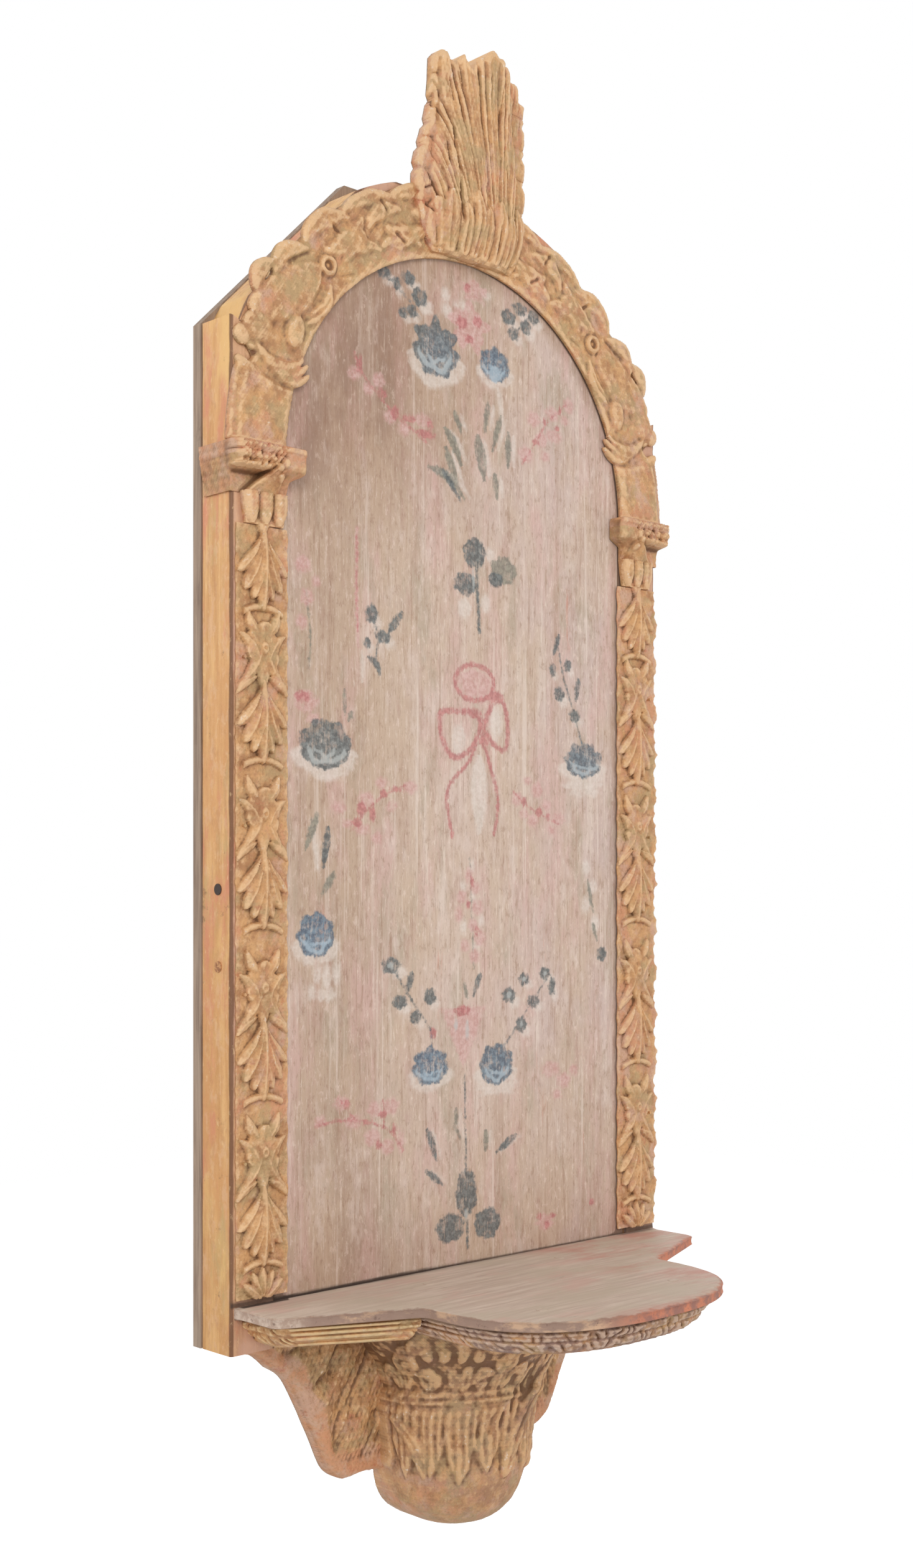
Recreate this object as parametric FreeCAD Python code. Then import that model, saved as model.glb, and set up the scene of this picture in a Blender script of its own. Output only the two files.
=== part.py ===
import FreeCAD, Part
import math
import os
from FreeCAD import Vector

# Wall console table in carved, gilded and painted wood, hung on a wall.
# The wall is the plane y = 0 and the room lies towards -Y. x = 0 is the centre line.
# z = 0 is the top of the shelf. All lengths are in millimetres.

# Body: a half octagon over straight sides
body_width = 450.0
body_drop = 34.0
spring_height = 596.0
rear_plank_thickness = 9.0
rear_plank_gap = 0.4
rear_joint_share = 1.0 / 6.0

# Frame behind the carving
frame_thickness = 35.0
stile_width = 47.0
rail_height = 64.0
rail_shelf_land = 24.0
tenon_thickness = 12.0
tenon_length = 34.0
tenon_shoulder = 9.0
peg_radius = 4.0
spline_thickness = 8.0
spline_width = 30.0
spline_length = 30.0
spline_cover = 4.7
fit_gap = 0.2

# Painted panel, let into a rebate from the front
panel_thickness = 12.0
panel_recess = 1.0
panel_seat = 8.0
panel_tongue = 4.0
panel_gap = 0.3
panel_joint_shares = (-1.0, -0.23, 0.40, 1.0)
batten_height = 40.0
batten_height_shares = (0.25, 0.80)

# Carved garlands on the stiles
garland_width = 39.0
garland_base = 4.0
garland_relief = 8.0
garland_foot_gap = 4.0
garland_pitch = 117.5
husk_width = 30.0
husk_height = 62.0
husk_first_drop = 33.0
flower_radius = 15.5
flower_boss_radius = 6.0
flower_boss_height = 1.5
flower_after_husk_share = 0.46

# Capitals
capital_top_above_spring = 5.0
capital_height = 56.0
capital_abacus_height = 14.0
capital_projection = 18.0
capital_overhang = 9.0
capital_inner_overhang = 12.0
capital_bell_inset = 9.0
capital_bell_foot_width = 30.0
capital_bell_foot_depth = 9.0
capital_side_set_back = 4.0

# Carved frieze on the arch
frieze_overhang = 6.0
frieze_base = 4.0
frieze_relief = 9.0
frieze_motif_count = 7
frieze_leaf_length = 30.0
frieze_leaf_width = 34.0
frieze_flower_radius = 15.0

# Crest plume
crest_half_width = 58.0
crest_height = 166.0
crest_base = 18.0
crest_relief = 24.0
crest_plume_width = 19.0
crest_tip_shares = ((0.98, 0.27), (0.92, 0.45), (0.83, 0.62), (0.74, 0.78), (0.54, 0.885), (0.31, 0.955))
crest_valley_shares = ((0.62, 0.08), (0.82, 0.345), (0.78, 0.53), (0.68, 0.69), (0.57, 0.81), (0.37, 0.895),
                       (0.13, 0.94))
crest_plume_turns = (-23.0, -11.5, 0.0, 11.5, 23.0)
crest_plume_top_shares = (0.72, 0.90, 0.98, 0.90, 0.72)
crest_plume_foot_share = 0.12

# Shelf with two ears and a round front
shelf_thickness = 9.0
shelf_side_inset = 3.0
ear_depth = 46.0
ear_front_rise_share = 0.44
bulge_half_width = 124.0
bulge_start = 106.0
bulge_reach = 204.0
bulge_power = 2.4
bulge_step_count = 24
moulding_step = 9.0
moulding_upper_inset = 5.0
moulding_lower_inset = 20.0
moulding_split_inset = 4.0
core_inset = 32.0
core_tenon_length = 16.0
core_tenon_width = 50.0
core_tenon_thickness = 12.0
core_tenon_offset = 85.0

# Apron wings under the body
wing_thickness = 21.0
wing_side_inset = 5.0
wing_root = 50.0
wing_drop = 119.0
wing_outline_shares = ((1.0, 0.0), (0.955, 0.045), (0.83, 0.115), (0.705, 0.29), (0.615, 0.585),
                       (0.563, 0.80), (0.541, 0.92), (0.49, 0.985), (0.43, 1.0), (0.32, 0.995))

# Corbel: round in front, carried straight back to the wall's plank
corbel_radius = 100.0
corbel_height = 174.0
corbel_axis_depth = 31.0
corbel_profile_shares = ((1.0, 0.0), (0.97, 0.08), (0.85, 0.175), (0.75, 0.26), (0.68, 0.335), (0.70, 0.37),
                         (0.66, 0.405), (0.62, 0.475), (0.60, 0.59), (0.59, 0.70), (0.56, 0.80), (0.49, 0.89),
                         (0.36, 0.955), (0.18, 0.992), (0.0, 1.0))
dowel_radius = 5.0
dowel_depth = 13.0
corbel_dowel_offset = 40.0
corbel_dowel_depth_in_shelf = 52.0
wing_dowel_offsets = (82.0, 122.0)
corbel_back_dowel_offset = 26.0

# Nails and brads
nail_radius = 1.5
nail_head_radius = 4.0
nail_head_height = 1.2
nail_bite = 20.0
panel_nail_bite = 8.0
brad_radius = 1.1
brad_length = 16.0
side_nail_heights = (236.0, 290.0)
side_nail_depth = 20.0
side_nail_length = 30.0
rear_nail_height_shares = (0.06, 0.45, 0.90)
centre_nail_offset = 40.0
crest_nail_offset = 24.0
crest_nail_rise = 27.0
shelf_nail_offset_share = 70.0 / 92.0
shelf_nail_depth_shares = (34.0 / 172.0, 150.0 / 172.0)

# Hanger plates let into the back
hanger_offset_share = 148.0 / 225.0
hanger_width = 20.0
hanger_height = 54.0
hanger_thickness = 2.5
hanger_top_share = 154.0 / 225.0
hanger_hole_radius = 4.0
hanger_hole_drop = 10.0
hanger_hole_depth = 14.5
hanger_nail_drops = (29.0, 46.0)
hanger_nail_length = 22.0

# Sizes worked out from the ones above
overrun = body_width
half_width = body_width / 2
arch_radius = half_width - stile_width
frame_back = -rear_plank_thickness
front = frame_back - frame_thickness
corner_half = half_width * math.tan(math.radians(22.5))
body_bottom = -body_drop
body_top = spring_height + half_width
rail_top = body_bottom + rail_height
panel_bottom = body_bottom + rail_shelf_land
panel_back = front + panel_recess + panel_thickness
panel_half = arch_radius + panel_seat - fit_gap
capital_top = spring_height + capital_top_above_spring
capital_bottom = capital_top - capital_height
stile_centre = arch_radius + stile_width / 2
garland_centre = arch_radius + garland_width / 2
shelf_width = body_width - 2 * shelf_side_inset
shelf_bottom = -shelf_thickness
moulding_split = bulge_half_width - moulding_split_inset
wing_reach = half_width - wing_side_inset
hanger_offset = half_width * hanger_offset_share
core_bottom = shelf_bottom - 2 * moulding_step
corbel_axis = -corbel_axis_depth
crest_foot = spring_height + arch_radius
wing_back = frame_back
wing_front = frame_back - wing_thickness

pieces = {}


def box(x0, x1, y0, y1, z0, z1):
    return Part.makeBox(x1 - x0, y1 - y0, z1 - z0, Vector(x0, y0, z0))


def prism_y(points, y0, y1):
    """A straight-sided outline of (x, z) points, carried from y0 to y1."""
    corners = [Vector(x, y0, z) for x, z in points]
    outline = Part.makePolygon(corners + corners[:1])
    return Part.Face(outline).extrude(Vector(0, y1 - y0, 0))


def prism_z(points, z0, z1):
    """A straight-sided outline of (x, y) points, carried from z0 to z1."""
    corners = [Vector(x, y, z0) for x, y in points]
    outline = Part.makePolygon(corners + corners[:1])
    return Part.Face(outline).extrude(Vector(0, 0, z1 - z0))


def disc_y(x, z, radius, y0, y1):
    return Part.makeCylinder(radius, y1 - y0, Vector(x, y0, z), Vector(0, 1, 0))


def disc_z(x, y, radius, z0, z1):
    return Part.makeCylinder(radius, z1 - z0, Vector(x, y, z0), Vector(0, 0, 1))


def leaf_y(x, z_low, z_high, width, y0, y1):
    """A pointed leaf with two round sides, standing between z_low and z_high."""
    middle = (z_low + z_high) / 2
    low, high = Vector(x, y0, z_low), Vector(x, y0, z_high)
    right = Part.Arc(low, Vector(x + width / 2, y0, middle), high).toShape()
    left = Part.Arc(high, Vector(x - width / 2, y0, middle), low).toShape()
    return Part.Face(Part.Wire([right, left])).extrude(Vector(0, y1 - y0, 0))


def turned(shape, x, z, degrees):
    """The shape turned about the Y line through (x, z), from +X towards +Z."""
    copy = shape.copy()
    copy.rotate(Vector(x, 0, z), Vector(0, -1, 0), degrees)
    return copy


def mirrored(shape):
    return shape.mirror(Vector(0, 0, 0), Vector(1, 0, 0))


def wedge(low_degrees, high_degrees):
    """A sector seen from the front, with its point at the arch's centre."""
    points = [(0, spring_height)]
    for step in range(3):
        angle = math.radians(low_degrees + (high_degrees - low_degrees) * step / 2)
        points.append((overrun * math.cos(angle), spring_height + overrun * math.sin(angle)))
    return prism_y(points, -overrun, overrun)


def arched(half, bottom, y0, y1):
    """An opening with straight sides up to the spring line and a round top."""
    straight = box(-half, half, y0, y1, bottom, spring_height)
    return straight.fuse(disc_y(0, spring_height, half, y0, y1)).removeSplitter()


def body_plate(y0, y1):
    points = [(-half_width, body_bottom), (half_width, body_bottom),
              (half_width, spring_height + corner_half), (corner_half, body_top),
              (-corner_half, body_top), (-half_width, spring_height + corner_half)]
    return prism_y(points, y0, y1)


def nail_y(x, z, y_head, reach, head_radius=nail_head_radius, head_height=nail_head_height):
    """A nail driven towards the room, with its head's outer face at y_head."""
    head = disc_y(x, z, head_radius, y_head - head_height, y_head)
    return head.fuse(disc_y(x, z, nail_radius, y_head - reach, y_head - head_height)).removeSplitter()


def driven(names, nails):
    """Cuts the nails' own holes in the named pieces."""
    for name in names:
        pieces[name] = pieces[name].cut(Part.makeCompound(nails))


def make_rear_planks():
    plate = body_plate(frame_back, 0)
    joint = body_width * rear_joint_share
    edges = (-half_width - rear_plank_gap, -joint, joint, half_width + rear_plank_gap)
    for index, side in enumerate(("left", "centre", "right")):
        strip = box(edges[index] + rear_plank_gap / 2, edges[index + 1] - rear_plank_gap / 2,
                    frame_back, 0, body_bottom, body_top)
        pieces["rear_plank_" + side] = plate.common(strip)


def rail_tenon(grow):
    """Both tenons of the bottom rail in one bar behind the panel, grown by a clearance for the mortises."""
    middle = (panel_back + frame_back) / 2
    reach = arch_radius + tenon_length + grow
    return box(-reach, reach, middle - tenon_thickness / 2 - grow, middle + tenon_thickness / 2 + grow,
               body_bottom + tenon_shoulder - grow, rail_top - tenon_shoulder + grow)


def core_tenons(grow):
    """The two tenons that carry the shelf in the bottom rail."""
    middle = (shelf_bottom + core_bottom) / 2
    tenons = []
    for side in (-1, 1):
        x = side * core_tenon_offset
        tenons.append(box(x - core_tenon_width / 2 - grow, x + core_tenon_width / 2 + grow,
                          front, front + core_tenon_length + grow,
                          middle - core_tenon_thickness / 2 - grow, middle + core_tenon_thickness / 2 + grow))
    return tenons


def head_spline(degrees, grow):
    """A loose tongue across a joint of the head, grown by a clearance for its pocket."""
    radius = arch_radius + panel_seat + spline_width / 2 + fit_gap + spline_cover
    middle = (front + frame_back) / 2 + spline_thickness
    bar = box(radius - spline_width / 2 - grow, radius + spline_width / 2 + grow,
              middle - spline_thickness / 2 - grow, middle + spline_thickness / 2 + grow,
              spring_height - spline_length / 2 - grow, spring_height + spline_length / 2 + grow)
    return turned(bar, 0, spring_height, degrees)


def make_frame():
    opening = arched(arch_radius, body_bottom - overrun, front - overrun, frame_back + overrun)
    seat = arched(arch_radius + panel_seat, panel_bottom, front - overrun, panel_back)
    ring = body_plate(front, frame_back).cut(opening).cut(seat)
    joints = (22.5, 67.5, 112.5, 157.5)
    pockets = Part.makeCompound([head_spline(angle, fit_gap) for angle in joints])
    ring = ring.cut(pockets)
    head = wedge(joints[0], joints[-1])
    right_half = box(0, overrun, front, frame_back, body_bottom, body_top)
    stile = ring.common(right_half).cut(head).cut(rail_tenon(fit_gap))
    pieces["stile_right"] = stile
    pieces["stile_left"] = mirrored(stile)
    pieces["head_segment_right"] = ring.common(wedge(joints[0], joints[1]))
    pieces["head_segment_top"] = ring.common(wedge(joints[1], joints[2]))
    pieces["head_segment_left"] = ring.common(wedge(joints[2], joints[3]))
    pieces["head_splines"] = Part.makeCompound([head_spline(angle, 0) for angle in joints])
    rail = box(-arch_radius, arch_radius, front, frame_back, body_bottom, rail_top)
    rail = rail.cut(seat).fuse(rail_tenon(0)).removeSplitter()
    pieces["bottom_rail"] = rail.cut(Part.makeCompound(core_tenons(fit_gap)))
    pegs = []
    for side in (-1, 1):
        for z in (body_bottom + rail_height / 3, rail_top - rail_height / 3):
            pegs.append(disc_y(side * (arch_radius + tenon_length / 2), z, peg_radius, front, frame_back))
    pieces["rail_pegs"] = Part.makeCompound(pegs)
    driven(("stile_left", "stile_right", "bottom_rail"), pegs)


def make_panel():
    face = front + panel_recess
    sheet = arched(panel_half, panel_bottom + fit_gap, face, panel_back)
    middle = (face + panel_back) / 2
    edges = [share * panel_half for share in panel_joint_shares]
    for index, side in enumerate(("left", "centre", "right")):
        low, high = edges[index], edges[index + 1]
        plank = sheet.common(box(low + panel_gap / 2, high - panel_gap / 2, face, panel_back,
                                 panel_bottom, body_top))
        if index > 0:
            groove = box(low, low + panel_tongue + panel_gap, middle - panel_tongue / 2 - fit_gap,
                         middle + panel_tongue / 2 + fit_gap, panel_bottom, body_top)
            plank = plank.cut(groove)
        if index < 2:
            tongue = sheet.common(box(high - panel_gap, high + panel_tongue, middle - panel_tongue / 2,
                                      middle + panel_tongue / 2, panel_bottom, body_top))
            plank = plank.fuse(tongue).removeSplitter()
        pieces["panel_plank_" + side] = plank
    nails = []
    for share, level in zip(batten_height_shares, ("lower", "upper")):
        z = spring_height * share
        pieces["panel_batten_" + level] = box(-arch_radius + fit_gap, arch_radius - fit_gap, panel_back,
                                              frame_back, z - batten_height / 2, z + batten_height / 2)
        for index in range(3):
            x = (edges[index] + edges[index + 1]) / 2
            nails.append(nail_y(x, z, frame_back, frame_back - panel_back + panel_nail_bite))
    pieces["batten_nails"] = Part.makeCompound(nails)
    driven(("panel_batten_lower", "panel_batten_upper", "panel_plank_left", "panel_plank_centre",
            "panel_plank_right"), nails)


def make_rear_nails():
    nails = []
    reach = rear_plank_thickness + nail_bite
    for share in rear_nail_height_shares:
        for side in (-1, 1):
            nails.append(nail_y(side * stile_centre, spring_height * share, 0, reach))
    for side in (-1, 1):
        for share in batten_height_shares:
            nails.append(nail_y(side * centre_nail_offset, spring_height * share, 0,
                                rear_plank_thickness + nail_bite / 2))
        nails.append(nail_y(side * centre_nail_offset, body_top - stile_width / 2, 0, reach))
        nails.append(nail_y(side * centre_nail_offset, rail_top - rail_height / 3, 0,
                            rear_plank_thickness + nail_bite / 2))
    pieces["rear_nails"] = Part.makeCompound(nails)
    driven(("rear_plank_left", "rear_plank_centre", "rear_plank_right", "stile_left", "stile_right",
            "panel_batten_lower", "panel_batten_upper", "head_segment_top", "bottom_rail"), nails)


def make_hangers():
    top = spring_height + half_width * hanger_top_share
    hole_height = top - hanger_hole_drop
    seats, nails = [], []
    for side, name in ((-1, "left"), (1, "right")):
        x = side * hanger_offset
        blank = box(x - hanger_width / 2, x + hanger_width / 2, -hanger_thickness, 0,
                    top - hanger_height, top)
        hole = disc_y(x, hole_height, hanger_hole_radius, -hanger_hole_depth, overrun)
        pieces["hanger_plate_" + name] = blank.cut(hole)
        seats += [blank, hole]
        for drop in hanger_nail_drops:
            nails.append(nail_y(x, top - drop, 0, hanger_nail_length))
    pieces["hanger_nails"] = Part.makeCompound(nails)
    driven(("rear_plank_left", "rear_plank_right", "head_segment_left", "head_segment_right"),
           seats + nails)
    driven(("hanger_plate_left", "hanger_plate_right"), nails)


def make_garlands():
    foot = garland_foot_gap
    strip = box(arch_radius, arch_radius + garland_width, front - garland_base, front, foot, capital_bottom)
    raised = []
    top = capital_bottom - husk_first_drop
    count = int((top - foot) / garland_pitch) + 1
    brads = []
    for index in range(count):
        z = top - index * garland_pitch
        if z - husk_height / 2 > foot:
            raised.append(leaf_y(garland_centre, z - husk_height / 2, z + husk_height / 2, husk_width,
                                 front - garland_relief, front - garland_base))
        flower = z - garland_pitch * flower_after_husk_share - husk_height / 10
        if flower - flower_radius > foot:
            raised.append(disc_y(garland_centre, flower, flower_radius, front - garland_relief,
                                 front - garland_base))
            raised.append(disc_y(garland_centre, flower, flower_boss_radius,
                                 front - garland_relief - flower_boss_height, front - garland_base))
            brads.append(disc_y(garland_centre + garland_width / 2 - 2 * brad_radius, flower,
                                brad_radius, front - garland_base, front - garland_base + brad_length))
    garland = strip.multiFuse(raised).removeSplitter()
    pieces["pilaster_garland_right"] = garland
    pieces["pilaster_garland_left"] = mirrored(garland)
    return brads + [mirrored(brad) for brad in brads]


def make_capitals():
    x0, x1 = arch_radius - capital_inner_overhang, half_width + capital_overhang
    y0 = front - capital_projection
    side_end = frame_back - capital_side_set_back
    bottom_of_abacus = capital_top - capital_abacus_height
    abacus = box(x0, x1, y0, side_end, bottom_of_abacus, capital_top)
    inset = capital_bell_inset
    centre = (x0 + x1) / 2
    high = [Vector(x0 + inset / 2, y0 + inset / 3, bottom_of_abacus),
            Vector(x1 - inset / 3, y0 + inset / 3, bottom_of_abacus),
            Vector(x1 - inset / 3, front, bottom_of_abacus), Vector(x0 + inset / 2, front, bottom_of_abacus)]
    foot_half = capital_bell_foot_width / 2
    low = [Vector(centre - foot_half, front - capital_bell_foot_depth, capital_bottom),
           Vector(centre + foot_half, front - capital_bell_foot_depth, capital_bottom),
           Vector(centre + foot_half, front, capital_bottom),
           Vector(centre - foot_half, front, capital_bottom)]
    bell = Part.makeLoft([Part.makePolygon(high + high[:1]), Part.makePolygon(low + low[:1])], True, True)
    side = box(half_width, x1 - inset / 3, front, side_end, capital_bottom + capital_height / 4,
               bottom_of_abacus)
    capital = abacus.multiFuse([bell, side]).cut(box(0, half_width, front, overrun, 0, body_top))
    pieces["capital_right"] = capital.removeSplitter()
    pieces["capital_left"] = mirrored(pieces["capital_right"])


def crest_outline():
    """Round leaf tips between valleys, from the foot up the right side and down the left."""
    def place(share, side):
        return Vector(side * share[0] * crest_half_width, front, crest_foot + share[1] * crest_height)
    foot = Vector(0, front, crest_foot)
    edges = [Part.LineSegment(foot, place(crest_valley_shares[0], 1)).toShape()]
    for index, tip in enumerate(crest_tip_shares):
        edges.append(Part.Arc(place(crest_valley_shares[index], 1), place(tip, 1),
                              place(crest_valley_shares[index + 1], 1)).toShape())
    last = crest_valley_shares[-1]
    edges.append(Part.Arc(place(last, 1), Vector(0, front, crest_foot + crest_height),
                          place(last, -1)).toShape())
    for index in reversed(range(len(crest_tip_shares))):
        edges.append(Part.Arc(place(crest_valley_shares[index + 1], -1), place(crest_tip_shares[index], -1),
                              place(crest_valley_shares[index], -1)).toShape())
    edges.append(Part.LineSegment(place(crest_valley_shares[0], -1), foot).toShape())
    return Part.Wire(edges)


def make_crest():
    slab = Part.Face(crest_outline()).extrude(Vector(0, -crest_base, 0))
    foot = crest_foot + crest_height * crest_plume_foot_share
    plumes = []
    for degrees, top_share in zip(crest_plume_turns, crest_plume_top_shares):
        plume = leaf_y(0, foot, crest_foot + crest_height * top_share, crest_plume_width,
                       front - crest_relief, front - crest_base)
        plumes.append(turned(plume, 0, foot, -degrees))
    pieces["crest_plume"] = slab.multiFuse(plumes).removeSplitter()
    nails = []
    for side in (-1, 1):
        nails.append(nail_y(side * crest_nail_offset, crest_foot + crest_nail_rise, frame_back,
                            frame_thickness + crest_base - nail_radius))
    pieces["crest_nails"] = Part.makeCompound(nails)
    driven(("crest_plume", "head_segment_top"), nails)


def make_frieze():
    outer = half_width + frieze_overhang
    base = disc_y(0, spring_height, outer, front - frieze_base, front)
    hollow = disc_y(0, spring_height, arch_radius, -overrun, overrun)
    ring = base.cut(hollow)
    middle = (outer + arch_radius) / 2
    step = 90.0 / frieze_motif_count
    raised, brads = [], []
    for index in range(frieze_motif_count):
        angle = step * (index + 0.5)
        if index % 2 == 0:
            motif = leaf_y(middle, spring_height - frieze_leaf_length / 2,
                           spring_height + frieze_leaf_length / 2, frieze_leaf_width,
                           front - frieze_relief, front - frieze_base)
        else:
            motif = disc_y(middle, spring_height, frieze_flower_radius, front - frieze_relief,
                           front - frieze_base)
            brad = disc_y(outer - frieze_overhang - 3 * brad_radius, spring_height, brad_radius,
                          front - frieze_base, front - frieze_base + brad_length)
            brads.append(turned(brad, 0, spring_height, angle - step / 2))
        raised.append(turned(motif, 0, spring_height, angle))
    right = box(0, overrun, -overrun, front, capital_top, body_top + overrun)
    frieze = ring.multiFuse(raised).common(right)
    frieze = frieze.cut(Part.Face(crest_outline()).extrude(Vector(0, -overrun, 0))).removeSplitter()
    pieces["arch_frieze_right"] = frieze
    pieces["arch_frieze_left"] = mirrored(frieze)
    return brads + [mirrored(brad) for brad in brads]


def bulge_face(inset, z):
    """The shelf's middle in plan: straight sides, then a superellipse of the named power."""
    half, start = bulge_half_width - inset, front - bulge_start
    reach = bulge_reach - bulge_start - inset
    points = []
    for step in range(bulge_step_count + 1):
        angle = math.pi * step / bulge_step_count
        across = math.copysign(abs(math.cos(angle)) ** (2 / bulge_power), math.cos(angle))
        forward = abs(math.sin(angle)) ** (2 / bulge_power)
        points.append(Vector(half * across, start - reach * forward, z))
    rim = Part.BSplineCurve()
    rim.interpolate(points)
    back_right, back_left = Vector(half, front, z), Vector(-half, front, z)
    return Part.Face(Part.Wire([rim.toShape(), Part.LineSegment(points[-1], back_left).toShape(),
                                Part.LineSegment(back_left, back_right).toShape(),
                                Part.LineSegment(back_right, points[0]).toShape()]))


def shelf_shape(inset, z0, z1):
    """The shelf's plan, drawn in by an inset, with straight-fronted ears and a round middle."""
    half = shelf_width / 2 - inset
    rise = inset * math.hypot(1, ear_front_rise_share)

    def edge(x):
        return front - ear_depth + ear_front_rise_share * (x - shelf_width / 2) + rise
    ears = prism_z([(-half, front), (half, front), (half, edge(half)), (0, edge(0)), (-half, edge(half))],
                   z0, z1)
    return ears.fuse(bulge_face(inset, z0).extrude(Vector(0, 0, z1 - z0))).removeSplitter()


def make_shelf():
    board = shelf_shape(0, shelf_bottom, 0)
    core = shelf_shape(core_inset, core_bottom, shelf_bottom)
    upper = shelf_shape(moulding_upper_inset, shelf_bottom - moulding_step, shelf_bottom)
    lower = shelf_shape(moulding_lower_inset, core_bottom, shelf_bottom - moulding_step)
    moulding = upper.fuse(lower).cut(core)
    middle = box(-moulding_split, moulding_split, -overrun, 0, core_bottom, 0)
    outer = box(moulding_split, overrun, -overrun, 0, core_bottom, 0)
    pieces["shelf_moulding_front"] = moulding.common(middle)
    pieces["shelf_moulding_right"] = moulding.common(outer)
    pieces["shelf_moulding_left"] = mirrored(pieces["shelf_moulding_right"])
    pieces["shelf_core"] = core.multiFuse(core_tenons(0)).removeSplitter()
    pieces["shelf_board"] = board
    nails = []
    offset = (bulge_half_width - core_inset) * shelf_nail_offset_share
    for side in (-1, 1):
        for share in shelf_nail_depth_shares:
            x, y = side * offset, front - (bulge_reach - core_inset) * share
            head = disc_z(x, y, nail_head_radius, -nail_head_height, 0)
            shank = disc_z(x, y, nail_radius, shelf_bottom - moulding_step, -nail_head_height)
            nails.append(head.fuse(shank).removeSplitter())
    pieces["shelf_nails"] = Part.makeCompound(nails)
    driven(("shelf_board", "shelf_core"), nails)


def make_bracket():
    top = core_bottom
    points = [Vector(share * corbel_radius, corbel_axis, top - drop * corbel_height)
              for share, drop in corbel_profile_shares]
    curve = Part.BSplineCurve()
    curve.interpolate(points)
    centre = Vector(0, corbel_axis, top)
    profile = Part.Wire([Part.LineSegment(centre, points[0]).toShape(), curve.toShape(),
                         Part.LineSegment(points[-1], centre).toShape()])
    half_face = Part.Face(profile)
    round_front = half_face.revolve(centre, Vector(0, 0, 1), -180.0)
    straight_back = half_face.extrude(Vector(0, frame_back - corbel_axis, 0))
    corbel = round_front.multiFuse([straight_back, mirrored(straight_back)]).removeSplitter()
    corbel = corbel.cut(box(-overrun, overrun, front, 0, body_bottom, top))
    points = [(wing_root, body_bottom)]
    points += [(reach * wing_reach, body_bottom - fall * wing_drop) for reach, fall in wing_outline_shares]
    points.append((wing_root, body_bottom - wing_outline_shares[-1][1] * wing_drop))
    wing = prism_y(points, wing_front, wing_back)
    pieces["corbel"] = corbel.cut(Part.makeCompound([wing, mirrored(wing)]))
    pieces["apron_wing_right"] = wing
    pieces["apron_wing_left"] = mirrored(wing)
    dowels = []
    middle = (wing_front + wing_back) / 2
    for side in (-1, 1):
        y = front - corbel_dowel_depth_in_shelf + dowel_depth
        dowels.append(disc_z(side * corbel_dowel_offset, y, dowel_radius, top - dowel_depth,
                             top + dowel_depth))
        for offset in wing_dowel_offsets + (corbel_back_dowel_offset,):
            dowels.append(disc_z(side * offset, middle, dowel_radius, body_bottom - dowel_depth,
                                 body_bottom + dowel_depth))
    pieces["bracket_dowels"] = Part.makeCompound(dowels)
    driven(("corbel", "shelf_core", "bottom_rail", "apron_wing_left", "apron_wing_right"), dowels)


def make_side_nails():
    nails = []
    for side in (-1, 1):
        for z in side_nail_heights:
            y = frame_back - side_nail_depth
            direction = Vector(-side, 0, 0)
            place = Vector(side * half_width, y, z)
            head = Part.makeCylinder(nail_head_radius, nail_head_height, place, direction)
            shank = Part.makeCylinder(nail_radius, side_nail_length, place, direction)
            nails.append(head.fuse(shank).removeSplitter())
    pieces["side_nails"] = Part.makeCompound(nails)
    driven(("stile_left", "stile_right"), nails)


make_rear_planks()
make_frame()
make_panel()
make_rear_nails()
make_hangers()
carving_brads = make_garlands()
make_capitals()
make_crest()
carving_brads += make_frieze()
pieces["carving_brads"] = Part.makeCompound(carving_brads)
driven(("pilaster_garland_left", "pilaster_garland_right", "arch_frieze_left", "arch_frieze_right",
        "stile_left", "stile_right", "head_segment_left", "head_segment_top", "head_segment_right",
        "panel_plank_left", "panel_plank_right"), carving_brads)
make_shelf()
make_bracket()
make_side_nails()

os.makedirs("parts", exist_ok=True)
for name, shape in pieces.items():
    shape.exportStep("parts/" + name + ".step")
    bounds = shape.BoundBox
    limits = (bounds.XMin, bounds.XMax, bounds.YMin, bounds.YMax, bounds.ZMin, bounds.ZMax)
    print(name, len(shape.Solids), "solids", round(shape.Volume), "mm3", shape.isValid(),
          [round(value, 1) for value in limits])
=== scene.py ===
import math

import bpy
import numpy as np
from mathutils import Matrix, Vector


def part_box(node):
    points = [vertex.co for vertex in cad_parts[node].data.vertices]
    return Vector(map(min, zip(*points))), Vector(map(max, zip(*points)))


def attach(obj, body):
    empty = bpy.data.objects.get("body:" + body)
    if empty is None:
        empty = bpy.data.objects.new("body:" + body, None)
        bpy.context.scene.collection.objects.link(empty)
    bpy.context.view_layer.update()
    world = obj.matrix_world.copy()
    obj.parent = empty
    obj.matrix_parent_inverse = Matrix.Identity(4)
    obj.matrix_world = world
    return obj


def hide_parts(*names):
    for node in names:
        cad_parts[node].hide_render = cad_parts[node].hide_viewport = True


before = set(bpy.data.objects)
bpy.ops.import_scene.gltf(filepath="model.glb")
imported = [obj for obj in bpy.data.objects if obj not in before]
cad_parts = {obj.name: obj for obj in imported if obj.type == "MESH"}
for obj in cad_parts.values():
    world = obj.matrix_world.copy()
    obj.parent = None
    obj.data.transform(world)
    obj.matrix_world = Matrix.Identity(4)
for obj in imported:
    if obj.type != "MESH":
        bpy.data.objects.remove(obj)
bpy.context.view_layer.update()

# Sizes of the console, in millimetres, in the frame's own places
MM = 0.001
SPRING = 596.0            # height of the arch's centre
HALF = 225.0              # half width of the body
FACE = -44.0              # front of stiles and head
BACK_OF_FRAME = -9.0
PANEL_FACE = -43.0
PANEL_ARCH = 185.6        # radius of the panel's top
ARCH, ARCH_RIM = 178.0, 231.0    # inner and outer radius of the carved arch
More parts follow.
